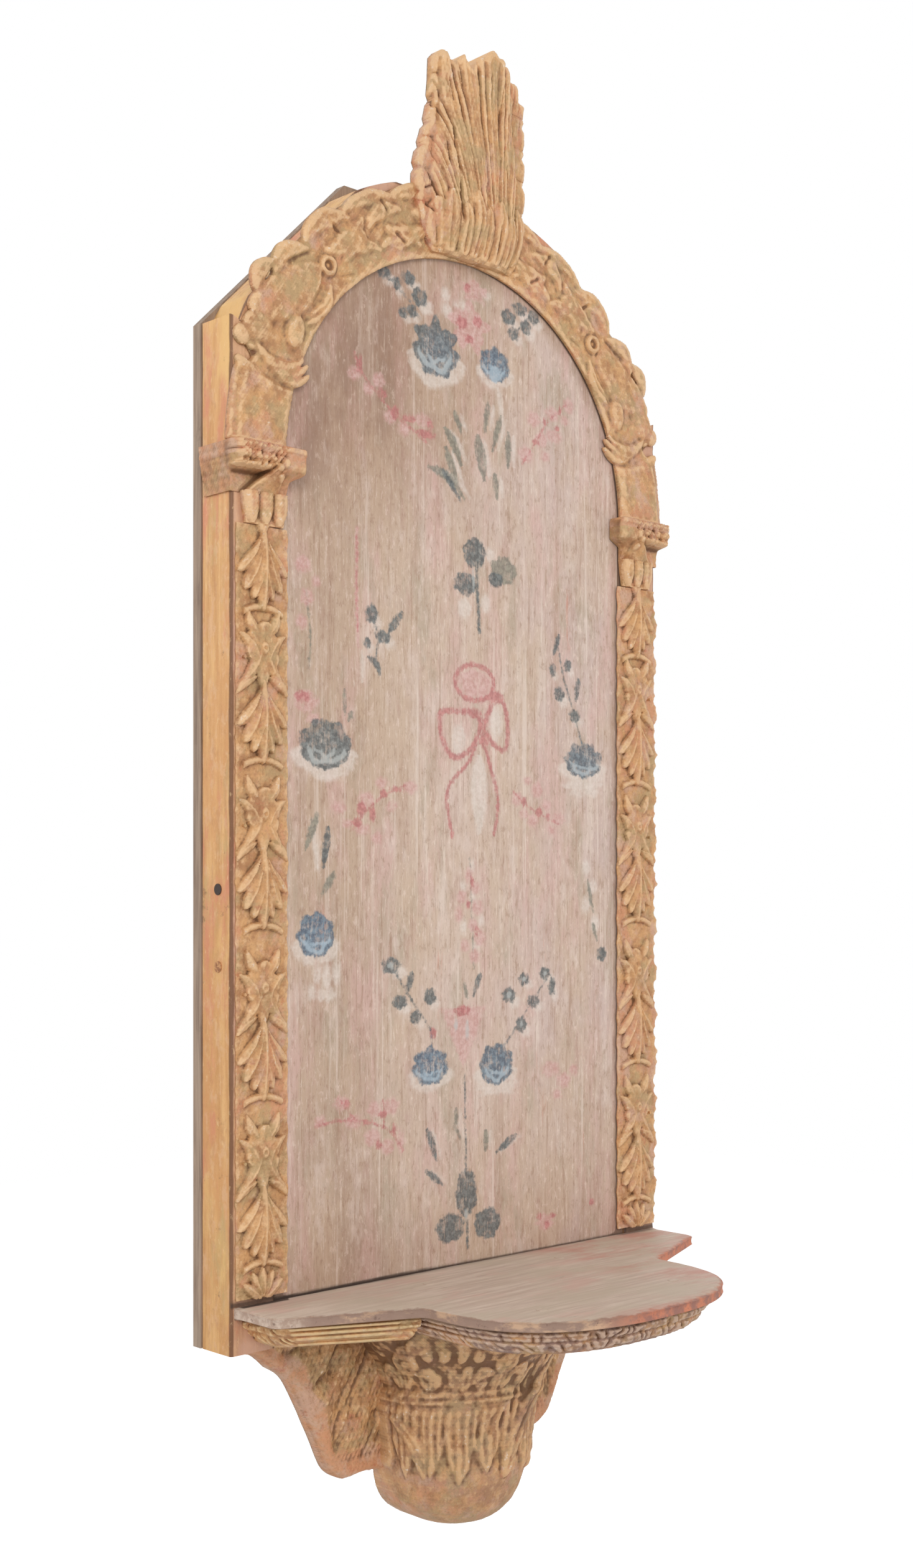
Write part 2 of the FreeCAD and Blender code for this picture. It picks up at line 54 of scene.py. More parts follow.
EAR_END, EAR_DEPTH, EAR_SLOPE = 222.0, 46.0, 0.44
BULGE_HALF, BULGE_REACH, BULGE_ROOT, BULGE_POWER = 124.0, 98.0, -150.0, 2.4
OUTSIDE = -9.0            # stands for a point that no form covers, where a distance in from an edge is kept


def box_mm(node):
    """Lowest and highest corner of a node, in millimetres."""
    low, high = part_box(node)
    return np.array(low) / MM, np.array(high) / MM


def wobble(a, b, seed=0.0):
    """Slow unevenness of hand work: the mean of five sines of a, b, their sum and difference, from -1 to 1."""
    return (np.sin(a * 0.131 + seed) + np.sin(b * 0.173 + 2.1 * seed) + np.sin((a + b) * 0.091 + 3.7 * seed)
            + np.sin((a - b) * 0.057 + 1.3 * seed) + np.sin(a * 0.29 - b * 0.23 + 5.1 * seed)) / 5


def smooth(t):
    """0 to 1 with flat ends: 3t squared less 2t cubed, held outside 0 to 1."""
    t = np.clip(t, 0, 1)
    return t * t * (3 - 2 * t)


def rise(value, start, reach):
    """0 up to start, 1 from start plus reach, and smooth between them."""
    return smooth((value - start) / reach)


def fade(value, end, reach):
    """1 up to end less reach, 0 from end, and smooth between them."""
    return smooth((end - value) / reach)


def hump(value, middle, reach, power=2):
    """A bell: e to the minus power of the distance from the middle over its reach."""
    return np.exp(-((value - middle) / reach) ** power)


# ---------------------------------------------------------------- meshes

def grid_quads(n, m, wrap=False):
    """Quads of an n by m grid of points, and over its seam where m wraps round."""
    ids = np.arange(n * m).reshape(n, m)
    if wrap:
        ids = np.concatenate([ids, ids[:, :1]], 1)
    return np.stack([ids[:-1, :-1], ids[1:, :-1], ids[1:, 1:], ids[:-1, 1:]], -1).reshape(-1, 4)


def border(n, m):
    """The points round the edge of an n by m grid, in order."""
    ids = np.arange(n * m).reshape(n, m)
    return np.concatenate([ids[0, :], ids[1:, -1], ids[-1, -2::-1], ids[-2:0:-1, 0]])


def shell(front, back):
    """A closed part from two grids of the same size, front and back, joined round their edges."""
    n, m = front.shape[:2]
    ring = border(n, m)
    after = np.roll(ring, -1)
    quads = np.concatenate([grid_quads(n, m), grid_quads(n, m)[:, ::-1] + n * m,
                            np.stack([ring, after, after + n * m, ring + n * m], 1)])
    return np.concatenate([front.reshape(-1, 3), back.reshape(-1, 3)]), quads, np.zeros((0, 3), int)


def slab(face, depth):
    """A closed board: the face, walls straight back to the plane at that depth, and a flat fan behind."""
    n, m = face.shape[:2]
    ring = border(n, m)
    rear = face.reshape(-1, 3)[ring].copy()
    rear[:, 1] = depth
    count = len(ring)
    behind = n * m + np.arange(count)
    after, behind_after = np.roll(ring, -1), np.roll(behind, -1)
    quads = np.concatenate([grid_quads(n, m), np.stack([ring, after, behind_after, behind], 1)])
    tris = np.stack([np.full(count, n * m + count), behind, behind_after], 1)
    return np.concatenate([face.reshape(-1, 3), rear, rear.mean(0)[None]]), quads, tris, ring


def loft(loops):
    """A closed part from a stack of closed loops, stations by points by 3, capped from the middle of each end."""
    n, m = loops.shape[:2]
    ids = np.arange(n * m).reshape(n, m)
    points = np.concatenate([loops.reshape(-1, 3), loops[0].mean(0)[None], loops[-1].mean(0)[None]])
    first, last = ids[0], ids[-1]
    tris = np.concatenate([np.stack([np.full(m, n * m), first, np.roll(first, -1)], 1),
                           np.stack([np.full(m, n * m + 1), np.roll(last, -1), last], 1)])
    return points, grid_quads(n, m, True), tris


def together(first, second):
    """Two closed parts as one mesh's points and faces."""
    start = len(first[0])
    return (np.concatenate([first[0], second[0]]), np.concatenate([first[1], second[1] + start]),
            np.concatenate([first[2], second[2] + start]))


def outward(points, quads, tris):
    """Turns a closed part's faces the other way if the volume that they enclose comes out negative."""
    a, b, c, d = (points[quads[:, i]] for i in range(4))
    e, f, g = (points[tris[:, i]] for i in range(3))
    volume = (np.cross(a, b) * c).sum() + (np.cross(a, c) * d).sum() + (np.cross(e, f) * g).sum()
    return (points, quads[:, ::-1], tris[:, ::-1]) if volume < 0 else (points, quads, tris)


def mirrored(part):
    """The same part on the other side of the centre line."""
    points, quads, tris = part
    return points * np.array([-1.0, 1.0, 1.0]), quads[:, ::-1], tris[:, ::-1]


def capped(values, end=0):
    """A loft's values for each point, with one more for the middle of each end."""
    return np.append(values, [end, end])


def put(name, part, slot, finish, node, sharp=42, **marks):
    """Puts a part, in millimetres, into the scene as a piece that rides on the body and stands for the node. Marks
    are numbers per point."""
    points, quads, tris = part
    mesh = bpy.data.meshes.new(name)
    mesh.vertices.add(len(points))
    mesh.vertices.foreach_set("co", (points * MM).astype(np.float32).ravel())
    mesh.loops.add(quads.size + tris.size)
    mesh.loops.foreach_set("vertex_index", np.concatenate([quads.ravel(), tris.ravel()]).astype(np.int32))
    mesh.polygons.add(len(quads) + len(tris))
    starts = np.concatenate([np.arange(len(quads)) * 4, len(quads) * 4 + np.arange(len(tris)) * 3])
    mesh.polygons.foreach_set("loop_start", starts.astype(np.int32))
    mesh.polygons.foreach_set("use_smooth", np.ones(len(starts), bool))
    for mark, values in marks.items():
        mesh.attributes.new(mark, "FLOAT", "POINT").data.foreach_set("value", values.astype(np.float32).ravel())
    mesh.update(calc_edges=True)
    mesh.validate()
    mesh.set_sharp_from_angle(angle=math.radians(sharp))
    mesh.materials.append(finish)
    piece = bpy.data.objects.new(name, mesh)
    bpy.context.scene.collection.objects.link(piece)
    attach(piece, "root")
    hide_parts(node)


def blurred(values, reach):
    """Mean over a square of 2 reach + 1 points, taken twice, with the edge values carried outwards."""
    for _ in range(2):
        for axis in (0, 1):
            pad = [(reach + 1, reach) if k == axis else (0, 0) for k in (0, 1)]
            run = np.cumsum(np.pad(values, pad, mode="edge"), axis)
            take = np.arange(values.shape[axis])
            values = (np.take(run, take + 2 * reach + 1, axis) - np.take(run, take, axis)) / (2 * reach + 1)
    return values


class Stretch:
    """A straight stretch from a to b on a grid: how far along and how far across it each point is."""

    def __init__(self, X, Z, x0, z0, x1, z1, bend=0.0):
        self.length = math.hypot(x1 - x0, z1 - z0)
        ex, ez = (x1 - x0) / self.length, (z1 - z0) / self.length
        self.along = ((X - x0) * ex + (Z - z0) * ez) / self.length
        self.a = np.clip(self.along, 0, 1)
        self.across = -(X - x0) * ez + (Z - z0) * ex - bend * self.length * 4 * self.a * (1 - self.a)


class Relief:
    """A carving under way: heights over a blank on a grid of x and z in millimetres, and how far inside it is."""

    def __init__(self, x0, x1, z0, z1, step):
        self.step = step
        self.X, self.Z = np.meshgrid(np.arange(x0, x1 + step * 0.5, step), np.arange(z0, z1 + step * 0.5, step),
                                     indexing="ij")
        self.start()

    def start(self):
        self.H, self.M = np.zeros_like(self.X), np.full_like(self.X, OUTSIDE)

    def wave(self, along_x, along_z, seed):
        """The unevenness of hand work, so many times as close along x and z."""
        return wobble(self.X * along_x, self.Z * along_z, seed)

    def add(self, inside, height, ground=0.0):
        """A form where inside is above nought, its distance in from its edge: the higher of it and what is there."""
        self.H = np.where(inside > 0, np.maximum(self.H, ground + height), self.H)
        self.M = np.maximum(self.M, inside)

    def leaf(self, base, tip, width, height, bend=0.0, belly=0.45, rib=0.0, veins=0, lobes=0, lobe=0.25,
             ground=0.0, curl=0.0, hollow=0.0, blunt=0.72):
        """A leaf from base to tip. Across, it is a half ellipse less a middle groove, or plus a rib; its half
        width is a sine of the share along it to the power blunt, and its line is a parabola of sag bend times
        the length."""
        line = Stretch(self.X, self.Z, *base, *tip, bend)
        a = line.a
        half = width / 2 * np.sin(math.pi * a ** (math.log(0.5) / math.log(belly))) ** blunt
        if lobes:
            half = half * (1 - lobe * np.abs(np.sin(math.pi * (lobes * a - 0.6 * np.abs(line.across) / width))) ** 1.5)
        u = line.across / np.maximum(half, 1e-6)
        inside = np.where((line.along > 0) & (line.along < 1), (1 - np.abs(u)) * half, OUTSIDE)
        v = np.clip(1 - u * u, 0, 1)
        form = v ** 0.5 * (1 - hollow * np.clip(1 - np.abs(u), 0, 1) ** 1.5) + rib * np.exp(-(u / 0.16) ** 2)
        if veins:
            form = form + 0.16 * np.sin(2 * math.pi * (veins * a - 0.9 * np.abs(u))) * np.abs(u) * v ** 0.3
        climb = 0.55 + 0.45 * np.sin(math.pi * a ** 0.8) + curl * a ** 3
        self.add(inside, height * form * climb, ground)

    def leaves(self, rows, **look):
        """Leaves from rows of foot, tip, width, height and bend."""
        for x0, z0, x1, z1, width, height, bend in rows:
            self.leaf((x0, z0), (x1, z1), width, height, bend=bend, **look)

    def boss(self, x, z, radius, height, ground=0.0, stretch=1.0, turn=0.0, power=0.5):
        """A round or oval boss: height times (1 less the squared share of its radius) to a power."""
        c, s = math.cos(turn), math.sin(turn)
        p, q = (self.X - x) * c + (self.Z - z) * s, (-(self.X - x) * s + (self.Z - z) * c) / stretch
        d = np.hypot(p, q)
        self.add(radius - d, height * np.clip(1 - (d / radius) ** 2, 0, 1) ** power, ground)

    def ring(self, x, z, radius, thick, height, ground=0.0):
        """A raised ring: a half round of that thickness on a circle."""
        d = np.abs(np.hypot(self.X - x, self.Z - z) - radius)
        self.add(thick / 2 - d, height * np.clip(1 - (2 * d / thick) ** 2, 0, 1) ** 0.5, ground)

    def flower(self, x, z, radius, height, petals=5, turn=0.0, ground=0.0, eye=0.3, tall=1.0):
        """A rosette: petals are hollow leaves that stand round an eye."""
        for k in range(petals):
            w = turn + 2 * math.pi * k / petals
            base = (x + 0.1 * radius * math.cos(w), z + 0.1 * radius * tall * math.sin(w))
            tip = (x + radius * math.cos(w), z + radius * tall * math.sin(w))
            self.leaf(base, tip, 2.3 * radius * math.sin(math.pi / petals), height * 0.75, belly=0.62, hollow=0.45,
                      ground=ground, blunt=0.55)
        self.boss(x, z, radius * eye, height, ground=ground, stretch=tall)
        self.pit(x, z, radius * eye * 0.4, height * 0.35)

    def pit(self, x, z, radius, depth):
        """A drilled hole with soft sides."""
        d = np.hypot(self.X - x, self.Z - z) / radius
        self.H = self.H - depth * np.clip(1.2 - d, 0, 1) ** 0.7

    def cuts(self, rows):
        """V grooves along lines, fading at their ends, from rows of start, end, width and depth."""
        for x0, z0, x1, z1, width, depth in rows:
            line = Stretch(self.X, self.Z, x0, z0, x1, z1)
            self.H = self.H - (depth * np.clip(1 - 2 * np.abs(line.across) / width, 0, 1) * smooth(4 * line.along)
                               * smooth(4 * (1 - line.along)))

    def part(self, top, back=FACE, face=FACE):
        """The closed mesh: cells that lie wholly inside are kept, their border is drawn out on to the outline,
        and walls run back to the plane back. The front lies at face less the height, held at top."""
        inside = self.M > 0
        keep = inside[:-1, :-1] & inside[1:, :-1] & inside[1:, 1:] & inside[:-1, 1:]
        for _ in range(4):     # two cells that meet only at a corner would leave a pinched edge
            k = keep
            pinch = k[:-1, :-1] & k[1:, 1:] & ~k[1:, :-1] & ~k[:-1, 1:]
            k[1:, 1:] &= ~pinch
            pinch = ~k[:-1, :-1] & ~k[1:, 1:] & k[1:, :-1] & k[:-1, 1:]
            k[1:, :-1] &= ~pinch
        n, m = self.X.shape
        wide = np.pad(keep, 1)
        count = wide[:-1, :-1].astype(int) + wide[1:, :-1] + wide[1:, 1:] + wide[:-1, 1:]
        used = count > 0
        gx, gz = np.gradient(self.M, self.step)
        size = np.maximum(gx * gx + gz * gz, 0.25)
        move = np.where(used & (count < 4), np.clip(self.M, 0, 1.3 * self.step), 0) / size
        reach = np.maximum(np.hypot(gx, gz) * move / self.step, 1)
        X, Z = self.X - gx * move / reach, self.Z - gz * move / reach
        Y = np.maximum(face - self.H, top)
        ids = np.full((n, m), -1)
        total = int(used.sum())
        ids[used] = np.arange(total)
        front = np.stack([X[used], Y[used], Z[used]], 1)
        rear = front.copy()
        rear[:, 1] = back
        i, j = np.nonzero(keep)
        cells = np.stack([ids[i, j], ids[i + 1, j], ids[i + 1, j + 1], ids[i, j + 1]], 1)
        quads = [cells, cells[:, ::-1] + total]
        for di, dj, first, second in ((0, 1, (0, 0), (0, 1)), (1, 0, (1, 0), (0, 0)), (2, 1, (1, 1), (1, 0)),
                                      (1, 2, (0, 1), (1, 1))):
            i, j = np.nonzero(~wide[di:di + n - 1, dj:dj + m - 1] & keep)
            p, q = ids[i + first[0], j + first[1]], ids[i + second[0], j + second[1]]
            quads.append(np.stack([p, q, q + total, p + total], 1))
        hollow = blurred(self.H, max(1, round(2.2 / self.step))) - self.H
        self.hollow = np.concatenate([hollow[used], np.full(total, 0.5)])
        return np.concatenate([front, rear]), np.concatenate(quads), np.zeros((0, 3), int)


# ---------------------------------------------------------------- finishes

def tint(red, green, blue):
    """A colour given on a 0 to 255 scale, as the linear colour that the shader takes."""
    def line(c):
        c = c / 255.0
        return c / 12.92 if c <= 0.04045 else ((c + 0.055) / 1.055) ** 2.4
    return (line(red), line(green), line(blue), 1.0)


class Nodes:
    """A node tree under way. Each method adds a node and gives back its result."""

    def __init__(self, owner):
        owner.use_nodes = True
        self.tree = owner.node_tree
        self.tree.nodes.clear()

    def node(self, kind, values=(), **settings):
        made = self.tree.nodes.new(kind)
        for key, value in settings.items():
            setattr(made, key, value)
        for key, value in dict(values).items():
            if isinstance(value, bpy.types.NodeSocket):
                self.tree.links.new(value, made.inputs[key])
            else:
                made.inputs[key].default_value = value
        return made

    def maths(self, kind, a, b):
        return self.node("ShaderNodeMath", {0: a, 1: b}, operation=kind).outputs[0]

    def times(self, a, b):
        return self.maths("MULTIPLY", a, b)

    def add(self, a, b, share=None):
        """A plus b, or plus b times share."""
        return self.maths("ADD", a, b if share is None else self.times(b, share))


class Finish(Nodes):
    """A material under way."""

    def __init__(self, name):
        self.material = bpy.data.materials.new(name)
        super().__init__(self.material)
        self.place = self.node("ShaderNodeTexCoord").outputs["Object"]

    def noise(self, scale, detail=6, rough=0.65, shift=0.0, twist=0.0, x=1, y=1, z=1):
        """Cloudy noise; scale is lumps per metre, and x, y and z squeeze it along each axis."""
        where = self.node("ShaderNodeMapping", {"Vector": self.place, "Scale": (x, y, z),
                                                "Location": (shift, shift * 0.7, shift * 1.3)})
        return self.node("ShaderNodeTexNoise", {"Vector": where.outputs[0], "Scale": scale, "Detail": detail,
                                                "Roughness": rough, "Distortion": twist}).outputs[0]

    def mark(self, name):
        return self.node("ShaderNodeAttribute", attribute_name=name).outputs["Fac"]

    def span(self, value, low, high, to_low=0.0, to_high=1.0):
        """Value carried from low..high to to_low..to_high, eased at both ends."""
        return self.node("ShaderNodeMapRange", {"Value": value, "From Min": low, "From Max": high,
                                                "To Min": to_low, "To Max": to_high},
                         interpolation_type="SMOOTHSTEP").outputs[0]

    def blend(self, share, a, b, kind="MIX"):
        a, b = (tint(*c) if isinstance(c, tuple) and len(c) == 3 else c for c in (a, b))
        return self.node("ShaderNodeMix", {0: share, 6: a, 7: b}, data_type="RGBA", blend_type=kind).outputs[2]

    def over(self, colour, *coats):
        """Coats on a colour, each from its paint, the grain that it follows, the low and high of the grain between
        which it comes up, and its most. A grain is a result or the numbers of a noise."""
        for paint, grain, low, high, *most in coats:
            if isinstance(grain, dict):
                grain = self.noise(**grain)
            colour = self.blend(self.span(grain, low, high, 0.0, *(most or [1.0])), colour, paint)
        return colour

    def done(self, colour, roughness, metal, height, strength, distance):
        """Ends the material, with a bump of that height."""
        bump = self.node("ShaderNodeBump", {"Height": height, "Strength": strength, "Distance": distance})
        shader = self.node("ShaderNodeBsdfPrincipled", {"Base Color": colour, "Roughness": roughness,
                                                        "Metallic": metal, "Normal": bump.outputs[0]})
        self.node("ShaderNodeOutputMaterial", {"Surface": shader.outputs[0]})
        return self.material


def grain(scale, detail=6, rough=0.65, **more):
    """The numbers of a noise, for a coat."""
    return dict(scale=scale, detail=detail, rough=rough, **more)


GOLD, GOLD_LIGHT, GOLD_DEEP = (214, 164, 112), (236, 196, 150), (182, 132, 90)
OLIVE, ORANGE, BOLE, BOLE_PINK = (186, 158, 114), (214, 150, 112), (192, 112, 82), (214, 172, 148)
# grime specks and the painted shade in hollows share one dark brown
# the darkest brown is painted shadow in the gaps where the panel and stiles meet the shelf
GESSO, DIRT_AND_SHADE, MAUVE, GAP_SHADOW = (234, 214, 194), (112, 74, 44), (152, 122, 110), (58, 40, 30)


def gilding(name, pink=0.5, dull=0.0, worn=0.5, crest_highlight=GOLD_LIGHT):
    """Old leaf over bole: ochre and olive clouds, pinkish places rubbed thin, red bole, ridges rubbed pale and
    lightened with painted highlight, and grime and painted shade in the hollows. Pink, dull and worn say how much there
    is of each."""
    f = Finish(name)
    hollow, bare, fine = f.mark("hollow"), f.mark("bare"), f.noise(520, 5)
    colour = f.over(GOLD_DEEP, (GOLD, grain(70), 0.38, 0.62), (GOLD_LIGHT, grain(130, shift=3.0), 0.5, 0.7, 0.7),
                    (OLIVE, grain(38, shift=15.0), 0.46, 0.62, 0.75))
    clay = f.over(ORANGE, (BOLE_PINK, grain(60, 5, 0.6, shift=19.0), 0.42, 0.6))
    rubbed = f.span(f.add(f.noise(48, 8, 0.72, 7.0), bare, 0.15), 0.60 - 0.14 * pink, 0.78 - 0.14 * pink, 0.0, 0.8)
    rubbed = f.times(rubbed, f.span(fine, 0.36, 0.56, 0.7, 1.0))
    colour = f.blend(rubbed, colour, clay)
    colour = f.over(colour, (BOLE, f.add(f.noise(85, 7, 0.7, 11.0), bare, 0.02), 0.64 - 0.08 * worn,
                             0.76 - 0.08 * worn, 0.6))
    if dull:
        colour = f.over(colour, (MAUVE, grain(50, shift=17.0), 0.34, 0.62, dull))
    colour = f.over(colour, (DIRT_AND_SHADE, fine, 0.48, 0.32, 0.25))
    # painted highlight: ridges, where the hollow mark is low, are lightened toward the pale highlight colour
    crest = f.span(f.maths("SUBTRACT", f.times(f.noise(190, 5, shift=2.0), 0.9), hollow), 0.5, 1.15)
    colour = f.blend(f.times(crest, 0.72), colour, crest_highlight)
    colour = f.blend(f.times(crest, f.span(f.noise(260, 6, 0.7, 23.0), 0.58, 0.66, 0.0, 0.75)), colour, GESSO)
    # painted shade, with grime: the hollow mark darkens the hollows toward the dark brown
    deep = f.span(f.add(hollow, f.noise(90, 5), 0.6), 0.45, 1.75, 0.0, 0.85)
    colour = f.blend(deep, colour, DIRT_AND_SHADE)
    wood = f.over((126, 100, 76), ((166, 138, 112), fine, 0.4, 0.6))
    colour = f.blend(f.span(f.mark("rear"), 0.8, 0.98), colour, wood)
    rough = f.span(f.noise(60, 4, 0.55, 5.0), 0.3, 0.7, 0.44, 0.66)
    leaf = f.times(f.maths("SUBTRACT", 1.0, rubbed), f.maths("SUBTRACT", 0.22, f.times(deep, 0.22)))
    return f.done(colour, rough, leaf, f.add(fine, f.noise(170), 2.2), 0.5, 0.0011)


def bare_wood(name, light, dark, **squeeze):
    """Old softwood: grain drawn out along one axis, dark pores and dusty patches."""
    f = Finish(name)
    streak = f.noise(260, twist=0.6, **squeeze)
    colour = f.over(dark, (light, streak, 0.3, 0.7), ((168, 150, 132), grain(18, 5, 0.6, shift=4.0), 0.45, 0.75, 0.55),
                    ((84, 66, 52), grain(40, 5, 0.7, shift=9.0), 0.6, 0.8, 0.6))
    return f.done(colour, f.span(streak, 0.3, 0.7, 0.7, 0.9), 0.0, streak, 0.5, 0.0012)


def forged_iron():
    """Dark hammered iron with brown rust."""
    f = Finish("forged_iron")
    colour = f.over((46, 38, 34), ((92, 60, 42), grain(220, 5), 0.42, 0.62))
    return f.done(colour, f.span(f.noise(300, 3, 0.55), 0.3, 0.7, 0.45, 0.8), 0.65, f.noise(340, 4, 0.55), 0.6, 0.0008)


def nail_finish():
    """The old nails in the stile sides: the upper one dark and rusted, the lower one gilded over."""
    f = Finish("gilded_over_nail")
    height = f.node("ShaderNodeSeparateXYZ", {"Vector": f.place}).outputs[2]
    colour = f.over((150, 98, 62), ((204, 150, 100), grain(300, 5), 0.42, 0.6), ((56, 40, 32), height, 0.255, 0.27))
    return f.done(colour, 0.6, 0.1, f.noise(340, 4, 0.55), 0.5, 0.0008)


def stile_finish():
    """Gilding on the boards of the frame: brushed along the board, pinkish and bare on the front margin, rubbed
    dark with painted shade along the front corner."""
    f = Finish("worn_board_gilding")
    streak = f.noise(220, z=0.06)
    colour = f.over((200, 146, 88), ((230, 182, 122), streak, 0.34, 0.66),
                    ((212, 154, 98), grain(24, z=0.4), 0.4, 0.62, 0.9),
                    ((222, 176, 132), grain(120, 6, 0.7, z=0.5, shift=23.0), 0.50, 0.62, 0.7),
                    ((196, 142, 92), grain(90, 6, 0.7, z=0.4, shift=27.0), 0.52, 0.64, 0.6),
                    ((196, 166, 112), grain(40, z=0.3, shift=3.0), 0.54, 0.7, 0.7),
                    ((212, 138, 104), grain(22, 7, 0.7, z=0.3, shift=8.0), 0.50, 0.62, 0.9),
                    ((232, 188, 120), grain(16, z=0.35, shift=41.0), 0.50, 0.64, 0.8))
    bare = f.over((196, 146, 108), ((222, 176, 136), streak, 0.34, 0.66),
                  ((204, 160, 138), grain(18, z=0.4, shift=2.0), 0.42, 0.6, 0.8),
                  ((216, 140, 108), grain(20, 7, 0.7, z=0.3, shift=6.0), 0.56, 0.68, 0.8))
    colour = f.over(colour, (bare, f.add(f.mark("front"), f.noise(50, 4, 0.55), 0.3), 0.45, 0.75))
    # painted shade along the front corner, mixed with rubbed dark gilding
    worn = f.span(f.add(f.mark("edge"), f.noise(70, z=0.3), 0.8), 0.85, 1.15)
    colour = f.over(f.blend(f.times(worn, 0.88), colour, (112, 72, 44)),
                    ((128, 90, 58), grain(60, 7, 0.75, shift=13.0), 0.6, 0.72, 0.7),
                    ((240, 204, 154), grain(300, 6, 0.7, z=0.4, shift=4.0), 0.58, 0.7, 0.5))
    # stains round the nail holes, and painted shadow along the foot over the shelf
    colour = f.blend(f.mark("stain_and_shadow"), colour, (60, 40, 28))
    return f.done(colour, 0.55, 0.12, f.add(streak, f.noise(150), 1.4), 0.5, 0.0010)


def panel_finish():
    """Beige-pink paint on upright boards, with painted leaves, slate and pink flowers and pale highlights that
    the marks give in millimetres inside their outline; rubbed and flaked in upright streaks."""
    f = Finish("painted_flowers")
    streak, broad = f.noise(300, 7, 0.72, z=0.045), f.noise(80, 6, 0.68, 3.0, z=0.06)
    fine, mottle = f.noise(900, 4, z=0.12), f.noise(240, 6, 0.7, 31.0, z=0.5)
    side, painted_shade, cool = f.mark("side"), f.mark("painted_shade"), f.mark("cool")
    ground = f.over((202, 178, 158), ((214, 190, 176), side, 0.0, 0.5), ((208, 184, 174), side, 0.5, 1.0))
    # painted shade: the ground is darkened at the upper left, along the bottom and by the arch's right edge
    ground = f.over(
        f.blend(painted_shade, ground, (172, 144, 126)),
        ((206, 180, 156), grain(14, 6, 0.66, z=0.5), 0.36, 0.62, 0.8),
        ((216, 180, 170), grain(26, 6, 0.66, z=0.3, shift=5.0), 0.48, 0.66, 0.75),
        ((184, 166, 144), grain(34, 6, 0.66, z=0.35, shift=12.0), 0.52, 0.68, 0.7),
        ((226, 206, 194), grain(60, 6, 0.66, z=0.4, shift=21.0), 0.52, 0.7, 0.6),
        ((186, 150, 136), grain(75, 6, 0.66, z=0.3, shift=27.0), 0.54, 0.72, 0.55),
        ((186, 154, 134), broad, 0.52, 0.68, 0.5), ((228, 210, 196), broad, 0.44, 0.3, 0.5),
        ((168, 134, 112), streak, 0.52, 0.70, 0.65), ((236, 218, 202), streak, 0.44, 0.28, 0.6),
        ((172, 140, 118), mottle, 0.54, 0.66, 0.55), ((234, 212, 198), mottle, 0.44, 0.34, 0.5),
        ((240, 224, 208), fine, 0.57, 0.70, 0.5), ((148, 116, 96), fine, 0.43, 0.30, 0.45),
        ((234, 216, 202), grain(150, 4, 0.6, z=0.022, shift=37.0), 0.60, 0.68, 0.55))
    # more painted shade over the same places
    ground = f.blend(painted_shade, ground, (232, 222, 216), "MULTIPLY")
    colour = f.over(ground, ((204, 138, 116), grain(50, 7, 0.7, z=0.1, shift=9.0), 0.62, 0.72, 0.65))
    uneven = f.maths("SUBTRACT", f.noise(330, 5, z=0.8), 0.5)
    ragged = f.add(f.times(uneven, 6.5), f.maths("SUBTRACT", streak, 0.5), 2.0)
    flaked = f.span(f.add(f.times(fine, 0.4), f.noise(130, 6, 0.7, 2.0), 0.7), 0.53, 0.68, 1.0, 0.45)
    slates = f.blend(cool, (84, 88, 88), (74, 92, 112)), f.blend(cool, (122, 126, 124), (114, 136, 152))
    shade = f.span(f.noise(260, 6, 0.7, 6.0), 0.4, 0.62)
    for mark, dark, light, strength, soft in (("pale", (220, 206, 194), (234, 222, 212), 0.66, 2.0),
                                              ("green", (106, 108, 98), (142, 142, 126), 0.75, 1.0),
                                              ("pink", (202, 152, 144), (222, 184, 178), 0.75, 1.8),
                                              ("red", (176, 102, 102), (204, 132, 128), 0.8, 1.1),
                                              ("slate", *slates, 0.92, 1.0)):
        ink = f.times(f.times(f.span(f.add(f.mark(mark), ragged), -1.2 * soft, 1.1 * soft), flaked), strength)
        colour = f.blend(ink, colour, f.blend(shade, dark, light))
    light = f.span(f.add(f.mark("light"), ragged, 0.6), -0.8, 1.2)
    colour = f.blend(f.times(light, 0.6), colour, f.blend(cool, (196, 198, 194), (184, 202, 214)))
    # darker rim: painted shadow along the arch and stile edges, heavier on the right, and at the foot; dark joints at
    # the plank edges
    colour = f.over(colour, ((112, 84, 66), f.add(f.mark("rim"), streak, 0.3), 0.9, 1.2, 0.8))
    # painted shadow in the gap over the shelf
    colour = f.blend(f.mark("foot"), colour, GAP_SHADOW)
    return f.done(colour, 0.72, 0.0, f.add(streak, fine, 0.5), 0.4, 0.0009)


